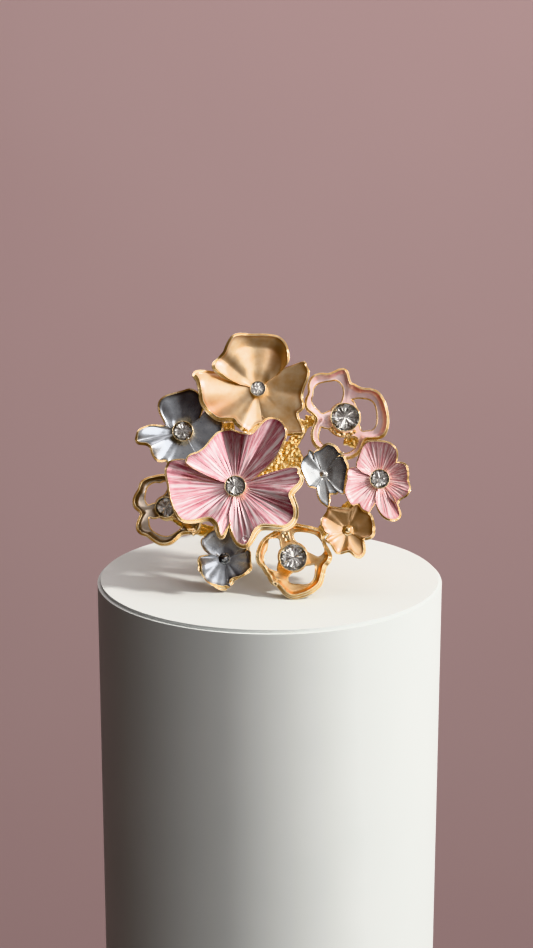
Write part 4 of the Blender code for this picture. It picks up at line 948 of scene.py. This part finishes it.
class Nodes:
    """Shorthand for building the nodes of a material or of the world."""

    def __init__(self, owner, shader="Principled BSDF"):
        owner.use_nodes = True
        self.owner = owner
        self.tree = owner.node_tree
        self.shader = self.tree.nodes[shader]

    def feed(self, socket, value):
        """Links a socket to another one, or sets its value."""
        if isinstance(value, bpy.types.NodeSocket):
            self.tree.links.new(value, socket)
        else:
            socket.default_value = value

    def add(self, kind, inputs=(), **settings):
        """Adds a node, and feeds its inputs."""
        node = self.tree.nodes.new(kind)
        for key, value in settings.items():
            setattr(node, key, value)
        for key, value in dict(inputs).items():
            self.feed(node.inputs[key], value)
        return node

    def set(self, **values):
        """Feeds the shader's inputs, named with _ for a space."""
        for key, value in values.items():
            self.feed(self.shader.inputs[key.replace("_", " ")], value)

    def field(self, name):
        """One of the fields that a piece carries at its points."""
        return self.add("ShaderNodeAttribute", attribute_name=name).outputs["Fac"]

    def ramp(self, factor, *stops):
        """A colour ramp through stops of (place, colour)."""
        node = self.add("ShaderNodeValToRGB", {"Fac": factor})
        ramp = node.color_ramp
        while len(ramp.elements) < len(stops):
            ramp.elements.new(0.5)
        for element, (at, colour) in zip(ramp.elements, stops):
            element.position = at
            element.color = (*colour, 1.0)
        return node.outputs["Color"]

    def grey(self, factor, *stops):
        """A ramp of plain values, for roughness and the like."""
        return self.ramp(factor, *((at, (value,) * 3) for at, value in stops))

    def noise(self, scale, detail=3.0):
        """Noise in object coordinates, its scale counted per millimetre."""
        at = self.add("ShaderNodeTexCoord").outputs["Object"]
        size = self.add("ShaderNodeMapping", {"Vector": at, "Scale": (1 / MM,) * 3})
        return self.add("ShaderNodeTexNoise", {
            "Vector": size.outputs["Vector"], "Scale": scale, "Detail": detail,
            "Roughness": 0.55}).outputs["Fac"]

    def bump(self, height, strength, distance, normal=None):
        inputs = {"Height": height, "Strength": strength, "Distance": distance * MM}
        if normal:
            inputs["Normal"] = normal
        return self.add("ShaderNodeBump", inputs).outputs["Normal"]

    def mix(self, factor, a, b):
        """Colour a, turning to the plain colour b as the factor grows."""
        node = self.add("ShaderNodeMix", {0: factor, 6: a, 7: (*b, 1.0)}, data_type="RGBA")
        return node.outputs[2]

    def math(self, operation, *values):
        return self.add("ShaderNodeMath", dict(enumerate(values)), operation=operation).outputs[0]


def material(name):
    """The nodes of a new material."""
    return Nodes(bpy.data.materials.new(name))


def polished_metal(name, light, deep, rough, wavy):
    """Plated cast metal: tone varies a little, and the cast skin is gently uneven."""
    n = material(name)
    n.set(Base_Color=n.ramp(n.noise(0.9), (0.35, deep), (0.65, light)), Metallic=1.0,
          Roughness=n.grey(n.noise(2.5), (0.35, rough * 0.75), (0.7, rough * 1.3)),
          Normal=n.bump(n.noise(3.0, 4.0), wavy, 0.12, n.bump(n.noise(16.0, 2.0), 0.06, 0.02)))
    return n.owner


def satin_enamel(name, dark, base, light, rough, metallic, flake=0.05, coat=0.4):
    """Pearlescent enamel: metallic pigment under a clear coat, deeper where it pools and where painted
    shade falls.
    """
    n = material(name)
    body = n.ramp(n.noise(0.7, 4.0), (0.3, base), (0.7, light))
    # Painted shade: the colour turns to the dark one where pool_and_shade is high.
    n.set(Base_Color=n.mix(n.field("pool_and_shade"), body, dark), Metallic=metallic,
          Roughness=n.grey(n.noise(5.0), (0.3, rough * 0.85), (0.7, rough * 1.2)),
          Coat_Weight=coat, Coat_Roughness=0.27, Coat_IOR=2.3,
          Normal=n.bump(n.noise(1.6, 1.0), 0.10, 0.10, n.bump(n.noise(30.0, 1.0), flake, 0.02)))
    return n.owner


def striped_enamel(name, dark, base, light, rough, metallic):
    """Pearlescent enamel brushed out from the hub: painted highlight along its ridges, darker in its
    grooves, and deeper where it pools and where painted shade falls.
    """
    n = material(name)
    stripes = n.math("MULTIPLY", n.field("bearing"), 95.0)
    along = n.add("ShaderNodeCombineXYZ", {"X": stripes, "Y": n.field("share")})
    streak = n.add("ShaderNodeTexNoise", {
        "Vector": along.outputs["Vector"], "Scale": 1.0, "Detail": 4.0,
        "Roughness": 0.7}).outputs["Fac"]
    # Painted highlight: the near-white light colour lies along the streaks' ridges, the dark one in their
    # grooves.
    body = n.ramp(streak, (0.35, dark), (0.46, base), (0.59, light))
    cloud = n.grey(n.noise(0.6), (0.35, 0.0), (0.65, 0.2))
    deep = n.grey(n.field("pool_and_shade"), (0.1, 0.0), (1.0, 0.6))
    n.set(Base_Color=n.mix(deep, n.mix(cloud, body, light), dark), Metallic=metallic,
          Roughness=n.grey(streak, (0.3, rough * 0.8), (0.7, rough * 1.3)),
          Coat_Weight=0.9, Coat_Roughness=0.22, Coat_IOR=1.7,
          Normal=n.bump(streak, 0.35, 0.05, n.bump(n.noise(26.0, 1.0), 0.04, 0.02)))
    return n.owner


def glass():
    """Cut crystal, very slightly smoky."""
    n = material("cut_crystal")
    tint = n.ramp(n.noise(0.4), (0.3, (0.93, 0.94, 0.95)), (0.7, (0.98, 0.98, 0.98)))
    n.set(Base_Color=tint, Roughness=0.0, IOR=1.56, Transmission_Weight=1.0)
    return n.owner


def foil():
    """The silvered back of a stone."""
    n = material("stone_foil")
    tone = n.ramp(n.noise(1.2), (0.3, (0.62, 0.60, 0.57)), (0.7, (0.92, 0.91, 0.89)))
    n.set(Base_Color=tone, Metallic=1.0,
          Roughness=n.grey(n.noise(6.0), (0.3, 0.03), (0.7, 0.10)))
    return n.owner


def matt(name, scale, dark, light, rough):
    """A plain surface whose tone drifts a little."""
    n = material(name)
    n.set(Base_Color=n.ramp(n.noise(scale), (0.3, dark), (0.7, light)), Roughness=rough)
    return n.owner


METALS = {
    "gold": polished_metal("polished_gold", (1.0, 0.84, 0.58), (0.93, 0.70, 0.40), 0.15, 0.15),
    "rough_gold": polished_metal("granulated_gold", (1.0, 0.80, 0.42), (0.88, 0.60, 0.24), 0.2,
                                 0.4),
    "silver": polished_metal("bright_silver", (0.88, 0.87, 0.85), (0.70, 0.69, 0.67), 0.15, 0.3),
    "gunmetal": polished_metal("gunmetal", (0.36, 0.37, 0.38), (0.20, 0.20, 0.21), 0.25, 0.6)}
CRYSTAL, FOIL = glass(), foil()

# Enamel: kind, colour where it pools and where painted shade falls, base and light colours,
# roughness, metallic, then flake and coat strength.
ENAMEL_LOOKS = {
    "champagne": (satin_enamel, (0.52, 0.18, 0.03), (0.84, 0.50, 0.21), (0.95, 0.70, 0.42),
                  0.34, 0.9, 0.05, 0.9),
    "silver_grey": (satin_enamel, (0.11, 0.10, 0.095), (0.26, 0.28, 0.31), (0.40, 0.43, 0.47),
                    0.30, 0.85, 0.02),
    "silver": (satin_enamel, (0.16, 0.18, 0.21), (0.36, 0.38, 0.39), (0.50, 0.51, 0.51),
               0.25, 0.9, 0.02),
    "bronze": (satin_enamel, (0.48, 0.18, 0.04), (0.74, 0.42, 0.18), (0.86, 0.58, 0.31),
               0.32, 0.9, 0.05, 0.6),
    "gunmetal": (satin_enamel, (0.08, 0.05, 0.03), (0.22, 0.16, 0.11), (0.36, 0.29, 0.23),
                 0.2, 0.6),
    "amber": (satin_enamel, (0.46, 0.17, 0.03), (0.80, 0.43, 0.15), (0.94, 0.66, 0.36),
              0.22, 0.8),
    "pale_pink": (satin_enamel, (0.50, 0.14, 0.15), (0.90, 0.56, 0.58), (0.97, 0.76, 0.76),
                  0.22, 0.25, 0.01, 0.9),
    # For rose and pink the light colour, near white, is a painted highlight laid along the streaks' ridges.
    "rose": (striped_enamel, (0.46, 0.11, 0.16), (0.72, 0.27, 0.32), (0.99, 0.84, 0.86),
             0.27, 0.8),
    "pink": (striped_enamel, (0.58, 0.18, 0.21), (0.78, 0.35, 0.38), (0.97, 0.80, 0.80),
             0.25, 0.45)}
ENAMELS = {name: look[0](name + "_enamel", *look[1:]) for name, look in ENAMEL_LOOKS.items()}


# ---- stage

def round_floor():
    """The pale round block that the ring stands on, its upper edge rounded."""
    bm = bmesh.new()
    bmesh.ops.create_cone(bm, cap_ends=True, segments=160, radius1=FLOOR_RADIUS * MM,
                          radius2=FLOOR_RADIUS * MM, depth=FLOOR_DEPTH * MM)
    bmesh.ops.translate(bm, verts=bm.verts, vec=(FLOOR_AT[0] * MM, FLOOR_AT[1] * MM,
                                                 (FLOOR_Z - FLOOR_DEPTH / 2) * MM))
    lip = [e for e in bm.edges if all(v.co.z > (FLOOR_Z - 1) * MM for v in e.verts)]
    bmesh.ops.bevel(bm, geom=lip, offset=0.5 * MM, segments=4, affect="EDGES")
    floor = bpy.data.meshes.new("floor")
    bm.to_mesh(floor)
    bm.free()
    floor.shade_smooth()
    floor.set_sharp_from_angle(angle=radians(40))
    floor.materials.append(matt("pale_floor", 0.05, (0.60, 0.63, 0.62), (0.63, 0.655, 0.645), 0.7))
    show(bpy.data.objects.new("floor", floor))


def backdrop():
    """A plain upright sheet far behind the ring."""
    wall = bpy.data.meshes.new("backdrop")
    corners = [(-WALL_HALF, WALL_LOW), (WALL_HALF, WALL_LOW), (WALL_HALF, WALL_HIGH),
               (-WALL_HALF, WALL_HIGH)]
    wall.from_pydata([(x * MM, WALL_Y * MM, z * MM) for x, z in corners], [], [(0, 1, 2, 3)])
    wall.materials.append(matt("dusty_backdrop", 0.003, (0.475, 0.335, 0.34), (0.50, 0.355, 0.36),
                               0.9))
    show(bpy.data.objects.new("backdrop", wall))


def surroundings():
    """Dim light from all round, brighter from the right and from above."""
    n = Nodes(bpy.data.worlds.new("studio"), "Background")
    at = n.add("ShaderNodeTexCoord").outputs["Generated"]
    side = n.add("ShaderNodeSeparateXYZ", {0: at}).outputs
    across = n.math("MULTIPLY_ADD", side["X"], 0.42, 0.5)
    level = n.math("MULTIPLY_ADD", side["Z"], 0.2, across)
    n.set(Color=n.ramp(level, (0.15, (0.07, 0.055, 0.05)), (0.5, (0.20, 0.17, 0.16)),
                       (0.85, (0.95, 0.92, 0.90))))
    bpy.context.scene.world = n.owner


def lamp(name, at, target, size, power, colour):
    """A square lamp, facing its target."""
    light = bpy.data.lights.new(name, "AREA")
    light.size = size
    light.energy = power
    light.color = colour
    obj = show(bpy.data.objects.new(name, light))
    obj.location = at
    obj.rotation_euler = (target - at).to_track_quat("-Z", "Y").to_euler()


def lamps():
    """A small hard key, a large soft window, and a wash over the backdrop."""
    middle = Vector((0.005, -0.008, 0.006))
    toward = Vector((cos(KEY_HEIGHT) * cos(KEY_AZIMUTH), -cos(KEY_HEIGHT) * sin(KEY_AZIMUTH),
                     sin(KEY_HEIGHT)))
    lamp("key", middle + toward * KEY_DISTANCE, middle, 0.055, 4.3, (1.0, 0.965, 0.92))
    lamp("window", middle + Vector((0.37, -0.42, 0.25)), middle, 0.32, 1.25, (1.0, 0.98, 0.97))
    lamp("wall_wash", Vector((0.0, 0.25, 0.7)), Vector((0.0, 0.6, 0.0)), 0.6, 2.0,
         (1.0, 0.95, 0.94))


def camera():
    """The camera, in front of the ring and a little above it."""
    lens = bpy.data.cameras.new("camera")
    lens.lens = 68.0
    lens.sensor_width = 36.0
    lens.clip_start = 0.01
    obj = show(bpy.data.objects.new("camera", lens))
    eye, aim = Vector(EYE) * MM, Vector(AIM) * MM
    obj.location = eye
    obj.rotation_euler = (aim - eye).to_track_quat("-Z", "Y").to_euler()
    bpy.context.scene.camera = obj
    bpy.context.scene.view_settings.view_transform = "Khronos PBR Neutral"


def main():
    """The ring's pieces and the stage."""
    for name in CLOSED:
        closed_blossom(name)
    for name in OPENWORK:
        openwork_blossom(name)
    for name, spec in BLOSSOMS.items():
        post(name)
        if spec["stone"]:
            stone_and_cup(name)
        else:
            bead(name)
    dew_drop()
    granulated("gallery_frame", "gallery")
    granulated("side_rail", "rail")
    band()
    saddle()
    round_floor()
    backdrop()
    surroundings()
    lamps()
    camera()


main()
